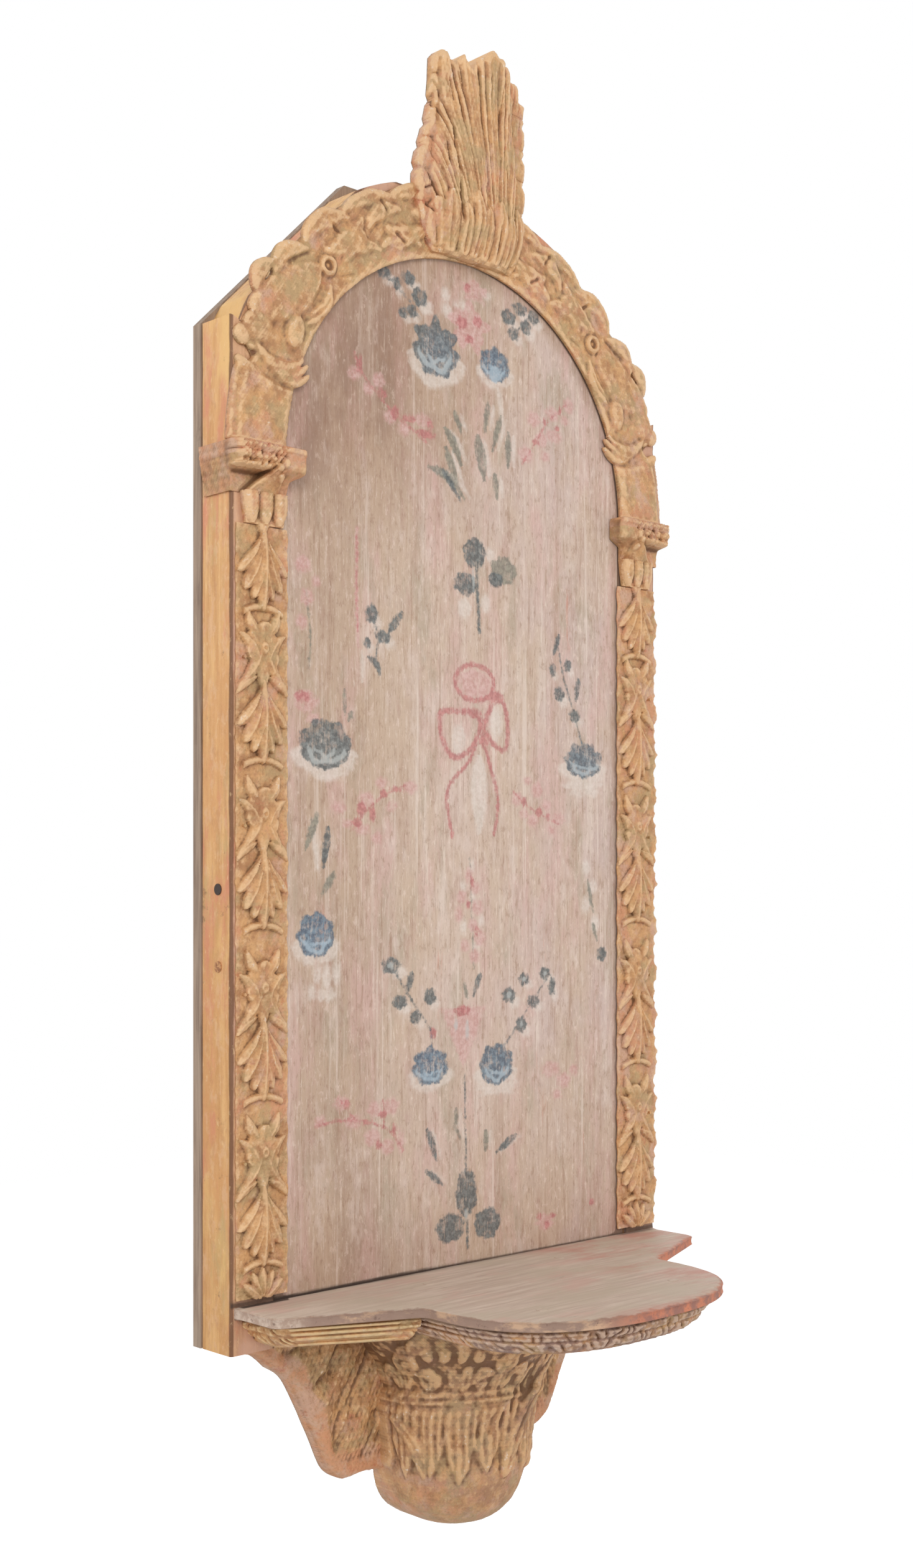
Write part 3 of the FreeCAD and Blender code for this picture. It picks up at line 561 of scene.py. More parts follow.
def shelf_finish():
    """Grey-pink paint, brushed from side to side. The rim is bare and pale at the left end, mauve with pale gold
    scrapes at the front, and rubbed to red bole at the right."""
    f = Finish("painted_shelf_top")
    rim, right, streak = f.mark("rim"), f.mark("right"), f.noise(200, 7, 0.7, x=0.07)
    colour = f.over((192, 170, 154), ((216, 198, 182), streak, 0.34, 0.66),
                    ((196, 180, 160), grain(18, x=0.5), 0.4, 0.62, 0.8),
                    ((208, 172, 158), grain(26, x=0.4, shift=4.0), 0.5, 0.66, 0.7))
    blush = f.times(right, f.span(f.noise(30, 7, 0.7, 2.0, x=0.4), 0.44, 0.62, 0.0, 0.7))
    colour = f.over(f.blend(blush, colour, (196, 140, 124)),
                    ((140, 114, 98), grain(150, 6, 0.7, x=0.12, shift=8.0), 0.62, 0.72, 0.6))
    rag = f.times(f.maths("SUBTRACT", f.noise(110, 7, 0.7), 0.5), 1.5)
    front = f.over((152, 122, 106), ((204, 166, 134), grain(85, x=0.4, y=0.6, shift=14.0), 0.48, 0.64))
    red = f.over((206, 122, 86), ((150, 98, 84), grain(90, shift=31.0), 0.4, 0.62))
    pale = f.over((176, 148, 130), ((206, 184, 166), grain(160, 6, 0.7), 0.4, 0.6))
    edge = f.blend(f.mark("left"), f.blend(right, front, red), pale)
    colour = f.over(colour, (edge, f.add(rim, rag), 0.5, 1.0, 0.92))
    dark = f.times(f.span(rim, 0.8, 1.2), f.span(f.noise(150, 6, 0.7, 35.0), 0.58, 0.7, 0.0, 0.8))
    colour = f.blend(dark, colour, (104, 78, 66))
    # painted shadow along the back edge where the shelf meets the panel
    colour = f.blend(f.mark("back"), f.blend(f.mark("under"), colour, (124, 96, 74)), GAP_SHADOW)
    return f.done(colour, 0.66, 0.0, f.add(streak, f.noise(110), 1.2), 0.4, 0.0011)


gilt = gilding("worn_gilding", pink=0.55)
gilt_dull = gilding("dulled_gilding", pink=0.5, dull=1.0, worn=0.4, crest_highlight=(220, 188, 164))
gilt_pink = gilding("rubbed_gilding", pink=1.0, worn=0.6)
# shaded_gilding is a duller, darker copy for the bracket that stands in the shelf's shade: painted shade;
# bright_gilding lights its ridges with a stronger painted highlight
gilt_brown = gilding("shaded_gilding", pink=0.35, dull=0.3, worn=0.3, crest_highlight=(226, 182, 134))
gilt_bright = gilding("bright_gilding", pink=0.3, worn=0.3, crest_highlight=(250, 218, 164))
board_gilding, painted_panel, painted_shelf = stile_finish(), panel_finish(), shelf_finish()
upright_wood = bare_wood("weathered_planks", (178, 154, 134), (124, 102, 86), z=0.045)
cross_wood = bare_wood("cross_grain_wood", (160, 128, 96), (112, 84, 60), x=0.045)
iron = forged_iron()


def carved(name, node, hollow, part, finish, bare, painted_light_and_dirt=1.0):
    """Puts a carving down with its hollows in millimetres, times the last argument, which scales painted light and
    grime; its bare places and its back marked.
    """
    depth = part[0][:, 1]
    put(name, outward(*part), "gilt_wood", finish, node, hollow=hollow[:len(depth)] * painted_light_and_dirt,
        rear=(depth > depth.max() - 0.3) * 1.0, bare=bare)


def pair(name, node, hollow, part, finishes, bares, painted_light_and_dirt=1.0):
    """Puts the left carving and its mirror image down."""
    for side, shape, finish, bare in zip(("left", "right"), (part, mirrored(part)), finishes, bares):
        carved(f"{side}_{name}", f"{node}_{side}", hollow, shape, finish, bare, painted_light_and_dirt)

# ---------------------------------------------------------------- frame boards

MITRE = math.tan(math.radians(22.5))
BOARD_IN = 186.0          # the boards' inner edge, from the centre
FOOT = 630.0              # from the arch's centre down to the stiles' feet


def board_section(inner, outer, count=9, radius=2.2):
    """A rectangle with rounded corners, as points of distance from the centre and depth, and for each point how
    close it is to a corner and whether it is on the front."""
    corners = ((outer, FACE, 0), (inner, FACE, 90), (inner, BACK_OF_FRAME, 180), (outer, BACK_OF_FRAME, 270))
    rounds = []
    for x, y, start in corners:
        cx = x - radius if x == outer else x + radius
        cy = y + radius if y == FACE else y - radius
        w = np.radians(np.linspace(start, start + 90, 5))
        rounds.append(np.stack([cx + radius * np.cos(w), cy - radius * np.sin(w)], 1))
    share = np.linspace(0, 1, count + 2)[1:-1, None]
    loop = np.concatenate([run for here, after in zip(rounds, rounds[1:] + rounds[:1])
                           for run in (here, here[-1] * (1 - share) + after[0] * share)])
    near = np.min([np.hypot(loop[:, 0] - x, loop[:, 1] - y) for x, y, _ in corners], 0)
    return loop, hump(near, 0, 3.0) * (loop[:, 1] < FACE + 8), (loop[:, 1] < FACE + 1.2) * 1.0


def frame_board(name, node, turn, seed, low=None, high=None, holes=(), worn_to=999.0):
    """A board of the frame: its section is carried along a straight line at right angles to the direction turn,
    from low to high. Where one of them is left out, that end is mitred. Its outer corners are worn round: nothing
    stands further from the arch's centre than worn_to. Holes are nail holes, by height, depth and darkness."""
    section, corner, front = board_section(BOARD_IN, HALF - 0.6)
    out, depth = section[:, 0], section[:, 1]
    start = -out * MITRE if low is None else low + 0 * out
    span = (out * MITRE if high is None else high + 0 * out) - start
    s = start[None] + np.linspace(0, 1, max(12, int(span.max() / 1.9)))[:, None] * span[None]
    dent = (0.35 + 0.9 * corner) * wobble(s, out * 3 + depth * 2, seed) * 0.45
    notch = corner * np.clip(wobble(s * 2.3, depth * 5, seed + 2) - 0.35, 0, 1) * 1.6
    away = section - np.array([(BOARD_IN + HALF) / 2, (FACE + BACK_OF_FRAME) / 2])
    away = away / np.hypot(away[:, 0], away[:, 1])[:, None]
    r = out[None] + away[None, :, 0] * np.minimum(dent, 0.3) - away[None, :, 0] * notch
    y = depth[None] + away[None, :, 1] * np.minimum(dent, 0.0) - away[None, :, 1] * notch
    limit = np.sqrt(np.maximum(worn_to ** 2 - s ** 2, BOARD_IN ** 2))
    r = np.where(np.abs(s) < worn_to, np.minimum(r, limit), r)
    stain_and_shadow = np.zeros_like(r)
    for height, hole_y, dark in holes:
        d = np.where(out[None] > HALF - 6, np.hypot(s - (height - SPRING), y - hole_y), 99.0)
        r = r - 1.6 * dark * hump(d, 0, 3.2)
        stain_and_shadow = np.maximum(stain_and_shadow, dark * hump(d, 0, 4.2, 4))
    w = math.radians(turn)
    points = np.stack([r * math.cos(w) - s * math.sin(w), y + 0 * s, SPRING + r * math.sin(w) + s * math.cos(w)], -1)
    z = points[..., 2]     # painted shadow darkens the front just over the shelf
    stain_and_shadow = np.maximum(stain_and_shadow, 0.85 * front * fade(z, 4.6, 1.5) * rise(z, -1.5, 1.5))
    marks = {key: capped(np.broadcast_to(mark, r.shape)) for key, mark in
             (("edge", corner), ("front", front), ("stain_and_shadow", stain_and_shadow))}
    put(name, outward(*loft(points)), "gilt_wood", board_gilding, node, 50, **marks)


frame_board("left_stile", "stile_left", 180, 0.4, high=FOOT, holes=((290.0, -33.0, 1.0), (236.0, -30.0, 0.3)))
frame_board("right_stile", "stile_right", 0, 1.7, low=-FOOT)
for side, turn, seed in (("left", 135, 2.6), ("top", 90, 3.3), ("right", 45, 4.8)):
    frame_board(f"{side}_head_board", f"head_segment_{side}", turn, seed, worn_to=235.0)

# ---------------------------------------------------------------- painted panel

# The marks of the painting, in millimetres: dabs by place and half sizes, strokes by ends, width and bend
DABS = {
    "pink": """5 727 19 17 .3, 11 756 13 8 .3, -88 668 6 6, -77 643 6 5, -63 636 6 5, -44 646 8 5, -112 669 6 5,
        -98 660 5 4, 77 668 7 6, 98 676 8 6, 118 686 6 6, 113 673 5 4, 86 653 7 6, 68 638 8 6, 101 658 9 5,
        90 640 5 4, -160 523 7 6, -156 500 6 6, -161 482 5 5, -148 512 4 4, -157 425 11 8, -150 413 6 4,
        11 450 17 11, -126 350 6 4, -85 369 6 4, -56 367 6 5, -100 356 8 6, -104 334 7 4, -75 352 5 4,
        -118 338 5 3, -90 328 5 4, 58 362 6 5, 81 370 6 6, 76 345 6 5, 106 347 7 5, 92 358 5 4, 66 350 5 4,
        70 377 4 3, 98 338 4 3, 5 301 4 6, 12 291 5 5, -3 284 5 5, 14 276 6 6, -6 271 4 6, 9 262 5 5, 17 252 6 6,
        1 246 5 5, 11 238 6 5, -124 134 7 5, -76 128 8 6, -92 127 7 6, -144 122 5 4, -112 119 7 5, -94 106 8 6,
        -79 98 6 6, -66 101 4 8, 97 144 10 6, 112 134 8 6, 124 141 5 5, 104 123 5 4, 91 21 9 6 .3""",
    "red": """-3 729 6 5, 14 733 5 4, 3 757 3 4, 5 718 5 3, -107 676 3 6, -85 659 5 4, -72 647 4 5, -58 645 7 3,
        -41 636 9 3, -36 644 3 4, 90 668 2 3, 108 680 2 3, 79 650 3 2, 104 665 3 2, -160 428 7 4, 34 441 9 5,
        12 427 7 4, 21 407 5 6, -105 349 4 6, -109 339 5 3, -94 346 3 6, -83 361 4 3, -71 365 6 2, 66 360 3 4,
        83 352 4 4, 94 348 2 3, 8 296 2 4, 4 278 2 3, 14 257 2 4, -33 180 4 4, -2 196 8 4, -118 133 3 3,
        -84 122 4 3, -100 118 4 2, -72 110 2 5, -88 100 3 3, 84 26 3 3, 93 18 3 3, 99 25 3 2, 146 30 3 3""",
    "pale": """-18 735 5 5, -3 742 8 4, -20 747 5 5, 24 756 4 4, 23 514 5 7, 0 508 7 8, 28 553 5 5,
        136 374 20 8 .3, -6 406 7 12, 34 421 6 13, 139 308 5 6, 147 292 5 6, 139 277 5 7, 150 262 5 7,
        -147 230 4 8, -138 226 4 10, -129 230 4 8, -138 214 9 5, -152 216 4 5, 8 308 3 5, -1 292 3 4, 9 284 3 4,
        18 265 3 4, -1 261 3 5, 12 246 4 3, 36 134 20 6 .3""",
    "light": """33 696 6 7, -76 233 3.5 2.4, 49 206 3 3, 66 218 3 2, 90 222 3 2, 63 182 2 3, 3 180 2 8, -9 185 2 5,
        2 38 2 5""",
    "slate": """11 552 12 12, 1 527 12 9, 34 534 8 6, 158 236 6 6, 2 54 11 18, -15 29 15 11, 25 28 14 12""",
    "green": """43 542 14 11""",
}
STROKES = {
    "pale": """36 690 44 650 5, -104 466 -104 442 4, 16 394 16 334 18, -150 332 -146 303 5""",
    "green": """-121 437 -121 417 4, -114 421 -118 412 4, -146 346 -158 318 7, -130 303 -143 285 6,
        141 298 148 270 4, 147 263 153 246 4, -1 218 4 204 4""",
    "slate": """-24 613 -3 590 5, -78 482 -64 499 7, -99 462 -87 448 6 .2, 107 498 100 480 5, 130 464 127 444 6,
        -136 336 -141 305 7, -54 228 -60 211 6, 18 225 9 206 6""",
    "light": """9 540 10 522 3""",
}
# strokes with a pale one beside them: how far that is to the right, by how much it is shorter at each end, and
# its share of the width
PAIRED = (
    (6, 2, 0.6, "green", """-21 645 -3 618 8 .05, -38 612 0 592 8 .12, -11 660 -3 643 6, 26 673 22 648 6,
        48 653 48 624 7, 14 645 22 610 11, 33 618 36 597 7, -20 630 -6 600 7, 40 664 30 634 6"""),
    (5, 1, 0.5, "slate", """-39 108 -29 82 6, -41 76 -22 63 5, 58 95 34 82 6"""),
    (5, 1, 0.5, "green", """-9 122 -9 107 4, 23 102 23 84 5, -12 110 -4 96 3"""),
)
LINES = (
    ("red", 1.5, "-112 684, -107 672, -92 660, -76 648, -60 640, -40 630"),
    ("red", 1.1, "64 630, 78 648, 92 668, 114 686"),
    ("red", 1.2, "-109 550, -110 500, -109 480"),
    ("red", 4.4, "10 429, -12 427, -25 428, -27 417, -22 401, -11 390, 4 396, 13 406, 19 420, 12 428"),
    ("red", 4.4, "20 412, 25 428, 34 440, 43 439, 48 422, 47 402, 40 399, 29 406, 20 416"),
    ("red", 3.2, "12 402, 4 387, -14 374, -20 362, -17 348, -13 331"),
    ("red", 3.2, "21 404, 32 378, 37 362, 36 348, 32 334"),
    ("red", 1.3, "-114 334, -98 350, -84 360, -62 368"),
    ("red", 1.1, "54 368, 70 356, 86 350, 106 343"),
    ("red", 1.6, "-148 119, -120 122, -100 118, -78 112, -64 94"),
    ("red", 1.2, "-128 139, -112 121"),
    ("red", 1.2, "-84 134, -82 114"),
    ("slate", 3, "13 548, 14 520, 16 491"),
    ("slate", 1.3, "0 146, 1 110, 2 66"),
    ("slate", 2.5, "3 32, 3 12"),
    ("green", 1.6, "-157 505, -152 470, -155 450"),
    ("green", 1, "6 314, 8 270, 10 228"),
    ("pink", 2.6, "-109 556, -110 505, -108 470"),
)
ROSES = """-30 703 23 21 .16, 33 703 16 13 .08, -139 395 24 18 .06, 136 396 22 14 .1, -148 257 17 16 .08,
    -36 155 18 14 .1, 35 152 18 16 .08"""
# sprays of slate leaves: the stem, and the dabs on it
SPRAYS = (
    ("-84 752, -70 742, -56 734, -46 722",
     "-83 750 7 5, -70 744 4 5, -58 751 7 5, -63 724 5 4, -47 739 8 7, -54 727 5 5"),
    ("78 752, 66 744, 52 728", "48 744 8 6, 61 753 8 5, 77 750 6 6, 68 740 6 6, 54 732 6 5"),
    ("-95 492, -87 476, -93 456", "-95 494 6 7, -84 478 7 5, -99 472 4 4"),
    ("105 490, 112 462, 124 436, 134 410", "99 468 4 5, 117 473 4 5, 107 449 6 6, 125 432 6 5"),
    ("-74 231, -60 212, -48 198, -35 184, -34 168", "-76 233 9 6, -67 205 7 5, -36 208 6 6, -51 193 6 5"),
    ("96 222, 78 202, 62 186, 46 168", "49 206 7 6, 66 218 6 5, 90 222 6 5, 98 211 4 7, 77 200 7 5, 63 182 6 6"),
)
# centre and share of blue of the bluish roses
BLUE_ROSES = ((-148, 257, 1.0), (-36, 155, 1.0), (35, 150, 0.8), (33, 697, 0.9), (-24, 695, 0.4), (136, 392, 0.5))


def rows(text):
    """Rows of numbers from a text with a comma after each row."""
    return [[float(number) for number in row.split()] for row in text.split(",")]


class Painting:
    """Brush work on the panel: for each paint, how far inside its marks each point is, in millimetres."""

    def __init__(self, X, Z):
        self.X, self.Z = X, Z
        self.ink = {paint: np.full(X.shape, OUTSIDE) for paint in ("pale", "green", "pink", "red", "slate", "light")}

    def lay(self, paint, inside):
        self.ink[paint] = np.maximum(self.ink[paint], inside)

    def dab(self, paint, x, z, wide, tall, ragged=0.09):
        """An oval dab: its half sizes times a circle whose edge waves five and nine times round."""
        p, q = (self.X - x) / wide, (self.Z - z) / tall
        w = np.arctan2(q, p)
        edge = 1 + ragged * (0.6 * np.cos(5 * w + x) + 0.4 * np.cos(9 * w + z))
        self.lay(paint, (edge - np.hypot(p, q)) * min(wide, tall))

    def stroke(self, paint, x0, z0, x1, z1, width, bend=0.0):
        """A pointed brush stroke that swells in the middle along a bent line."""
        line = Stretch(self.X, self.Z, x0, z0, x1, z1, bend)
        half = width / 2 * (0.25 + 0.75 * np.sin(math.pi * line.a ** 0.8))
        there = (line.along > -0.03) & (line.along < 1.03)
        self.lay(paint, np.where(there, half - np.abs(line.across), OUTSIDE))

    def line(self, paint, width, places):
        """A thin line of even width past the places, its corners cut twice: half the width less the distance to the
        nearest stretch."""
        for _ in range(2):
            places = ([places[0]] + [(a[0] * u + b[0] * (1 - u), a[1] * u + b[1] * (1 - u))
                                     for a, b in zip(places[:-1], places[1:]) for u in (0.75, 0.25)] + [places[-1]])
        for (ax, az), (bx, bz) in zip(places[:-1], places[1:]):
            dx, dz = bx - ax, bz - az
            a = np.clip(((self.X - ax) * dx + (self.Z - az) * dz) / (dx * dx + dz * dz), 0, 1)
            self.lay(paint, width / 2 - np.hypot(self.X - ax - a * dx, self.Z - az - a * dz))

    def rose(self, x, z, wide, tall, ragged):
        """A full rose: a dark ragged disc, light arcs round its dark eye in the lower half, and a pale crescent
        below it."""
        p, q = (self.X - x) / wide, (self.Z - z) / tall
        d, w, size = np.hypot(p, q), np.arctan2(q, p), min(wide, tall)
        edge = 1 + ragged * (np.cos(7 * w + x) + 0.5 * np.cos(12 * w)) * (0.4 + 0.6 * smooth(q + 0.5))
        self.lay("slate", (edge - d) * size)
        wave = 0.06 * np.cos(4 * w + x) + 0.04 * np.cos(7 * w + z)
        arcs = np.maximum(0.12 - np.abs(d - 0.72 + wave), 0.10 - np.abs(d - 0.44 - wave))
        self.lay("light", (arcs - 0.16 * smooth(q * 1.3 + 0.62)) * size)
        self.lay("pale", (1.40 + wave - d - 0.8 * smooth(q * 1.6 + 0.7)) * size)

    def bouquet(self):
        """All the marks, from the arch down to the shelf. They can come in any order, as the deepest counts."""
        for paint, text in DABS.items():
            for row in rows(text):
                self.dab(paint, *row)
        for paint, text in STROKES.items():
            for row in rows(text):
                self.stroke(paint, *row)
        for shift, draw, share, paint, text in PAIRED:
            for x0, z0, x1, z1, width, *bend in rows(text):
                self.stroke(paint, x0, z0, x1, z1, width, *bend)
                self.stroke("pale", x0 + shift, z0 - draw, x1 + shift, z1 + draw, width * share, *bend)
        for paint, width, text in LINES:
            self.line(paint, width, rows(text))
        for row in rows(ROSES):
            self.rose(*row)
        for stem, dabs in SPRAYS:
            self.line("slate", 1.2, rows(stem))
            for x, z, wide, tall in rows(dabs):
                self.dab("slate", x, z, wide, tall, 0.13)
                self.dab("pale", x + 0.8 * wide, z - 0.9 * tall, wide * 0.9, tall * 0.8)
        ring = np.linspace(0, 2 * math.pi, 21)     # of the ribbon bow
        self.line("red", 4.0, [(11 + 21 * math.cos(w), 451 + 14 * math.sin(w)) for w in ring])
        self.lay("pink", np.minimum(198 - self.Z, 0.8 * (21 * (self.Z - 155) / 41 + 2 - np.abs(self.X + 1))))


def panel_plank(name, node, seed, step=1.25):
    """A painted plank: columns of points run from the foot to the arch, so the top follows the circle; the face
    is slightly cupped and its long edges are eased."""
    low, high = box_mm(node)
    columns = np.linspace(low[0] + 0.15, high[0] - 0.15, int((high[0] - low[0]) / step) + 1)
    top = SPRING + np.sqrt(np.maximum(PANEL_ARCH ** 2 - columns ** 2, 0)) - 0.2
    count = int((top.max() - low[2]) / step)
    X = np.repeat(columns[:, None], count, 1)
    Z = low[2] + np.linspace(0, 1, count)[None, :] * (top[:, None] - low[2])
    edge = np.minimum(X - low[0], high[0] - X)
    cup = 0.5 * ((X - (low[0] + high[0]) / 2) / (high[0] - low[0]) * 2) ** 2
    Y = PANEL_FACE + 0.15 + 0.55 * hump(edge, 0, 1.1) + 0.35 * cup + 0.16 * wobble(X * 2, Z * 0.4, seed)
    points, quads, tris, ring = slab(np.stack([X, Y, Z], -1), high[1] - 0.05)
    depth = np.where(Z > SPRING, np.hypot(X, Z - SPRING), np.abs(X))
    side, cool = rise(X, -60, 120), np.zeros_like(X)
    for x, z, blue in BLUE_ROSES:
        cool = np.maximum(cool, blue * np.exp(-(((X - x) ** 2 + (Z - z) ** 2) / 24 ** 2) ** 2))
    # rim: painted shadow along the carved arch and stiles, heavier on the right, and at the foot, with dark joints at
    # the plank edges
    marks = {"rim": ((0.45 + 0.65 * side) * np.exp(-(np.maximum(ARCH - depth, 0) / 3.0))
                     + np.exp(-(np.maximum(Z, 0) / 4.0)) + 0.75 * hump(edge, 0, 0.8)),
             "side": rise(X, -185, 370), "cool": cool,
             # painted shade at the upper left, along the bottom, over the left half and by the arch's right edge
             "painted_shade": np.clip(0.95 * rise(Z, 500, 200) * fade(X, 90, 170) + 0.45 * fade(Z, 90, 120)
                            + 0.4 * fade(X, -60, 60) * rise(X, -176, 14) + 0.5 * side * rise(depth, 164, 12), 0, 1),
             # foot: painted shadow at the bottom, in the gap over the shelf
             "foot": (0.95 - 0.45 * side) * smooth((2.2 - 1.1 * side + 0.5 * wobble(X, Z, 0.3) - Z) / 1.4)}
    painting = Painting(X, Z)
    painting.bouquet()
    marks.update(painting.ink)
    whole = {key: np.concatenate([value.ravel(), value.ravel()[ring], [0.0]]) for key, value in marks.items()}
    put(name, outward(points, quads, tris), "painted_panel", painted_panel, node, 50, **whole)


for side, place, seed in (("left", "left", 0.6), ("middle", "centre", 2.2), ("right", "right", 4.1)):
    panel_plank(f"{side}_painted_plank", f"panel_plank_{place}", seed)

# ---------------------------------------------------------------- garlands down the stiles

STILE_MIDDLE = -198.5
SIDES = (-1, 1)


def garland(outer, lap, step=0.8):
    """Drops of bell husks, ledges and flowers on a strip that covers the stile's front: the pattern repeats every
    117.5 mm. Outer is how far out it reaches, and lap how deeply its outer edge is scalloped."""
    low, high = box_mm("pilaster_garland_left")
    inner, middle = 174.5, STILE_MIDDLE
    r = Relief(-outer - 1, -inner + 1, low[2] - 1, high[2] + 1, step)
    lumps = np.abs(np.sin(r.Z * 0.085 + 0.8 * wobble(r.Z * 1.1, 0, 0.4)))
    out_edge = (-outer + 0.3 + lap * (0.75 * lumps + 0.35 * np.abs(np.sin(r.Z * 0.31)))
                + 0.5 * (1 + wobble(r.Z * 3, 0, 1.1)))
    in_edge = (-inner - 0.3 - 1.2 * np.abs(np.sin(r.Z * 0.15 + 1))
               - 0.6 * (1 + wobble(r.Z * 3, 0, 2.3)) * 0.5)
    r.add(np.minimum(np.minimum(r.X - out_edge, in_edge - r.X), np.minimum(r.Z - low[2], high[2] - r.Z) - 0.3),
          1.3 + 0.35 * r.wave(4, 2, 0.3))
    for flower, top in ((459, 543), (343, 436), (221, 320), (106, 200), (-12, 84)):
        foot = top - 50
        r.leaf((middle, top + 3), (middle, foot - 8), 13, 4.8, belly=0.62, ground=2.4, rib=0.3, blunt=0.6)
        for dx, dz, wide, tall in ((8.5, 0, 12, 4.6), (16, 6, 12, 4.2), (21, 18, 9, 3.4)):
            for side in SIDES:
                r.leaf((middle + dx * side * 0.1, top - 5), (middle + dx * side, foot + dz), wide, tall,
                       bend=-0.08 * side, belly=0.68, ground=2.0, rib=0.28, blunt=0.6)
        for dx in (-3, 3):
            r.leaf((middle + dx, top + 14), (middle, top - 6), 8, 3.2, ground=2.0)
        ledge = 2.6 - np.abs(r.Z - foot + 5 + 0.04 * (r.X - middle) ** 2 * 0.4)
        r.add(np.minimum(ledge, 17 - np.abs(r.X - middle)), 2.6 * np.clip(ledge / 2.6, 0, 1) ** 0.5, 2.0)
        if flower > 0:
            for dx0, dz0, dx1, dz1, wide, tall, bend in rows("4 -14 20 10 11 3.6 .16, 3 10 19 -25 11 3.6 -.16, "
                                                             "2 8 14 27 9 3.2 -.1, 5 -20 22 -33 8 2.8 .12"):
                for side in SIDES:
                    r.leaf((middle + dx0 * side, flower + dz0), (middle + dx1 * side, flower + dz1), wide, tall,
                           bend=bend * side, ground=1.8, rib=0.22)
            r.flower(middle, flower, 14, 5.0, 6, 0.3, ground=2.4, tall=1.4)
    for dx, dz, wide in ((0, 21, 9), (9, 18, 8), (-9, 18, 8), (17, 11, 8), (-17, 11, 8)):
        r.leaf((middle + dx * 0.15, 4.5), (middle + dx, 4.5 + dz), wide, 3.4, ground=1.8, rib=0.25, blunt=0.6)
    r.H = r.H - 0.2 + 0.42 * r.wave(7, 5, 2.0) + 0.3 * r.wave(17, 13, 4.0)
    part = r.part(low[1] + 0.05)
    return r.hollow, part, smooth((wobble(part[0][:, 2] * 0.35, part[0][:, 0] * 0.8, 0.9) - 0.1) * 3)


hollow, part, bare = garland(222.6, 1.0)
carved("left_garland", "pilaster_garland_left", hollow, part, gilt, bare, 0.7)
hollow, part, bare = garland(228.6, 5.6)
carved("right_garland", "pilaster_garland_right", hollow, mirrored(part), gilt_pink, bare, 0.7)

# ---------------------------------------------------------------- capitals

CAPITAL_FOOT, CAPITAL_TOP = 566.0, 600.8
KNOBS = rows("""-187.5 22 3.6 3.4, -192 19 3 2.6, -198 25 3 2.4, -204 19 3.6 2.6, -211 25 3.2 2.4, -216 17 3.4 2.6,
    -222 25 3.6 2.2, -189 12 3.4 1.6""")
PITS = rows("-195 26 2 3.4, -202 21 1.9 3.6, -208 27 2.2 3, -216 22 2.4 2.8, -191 23 1.6 2.8")


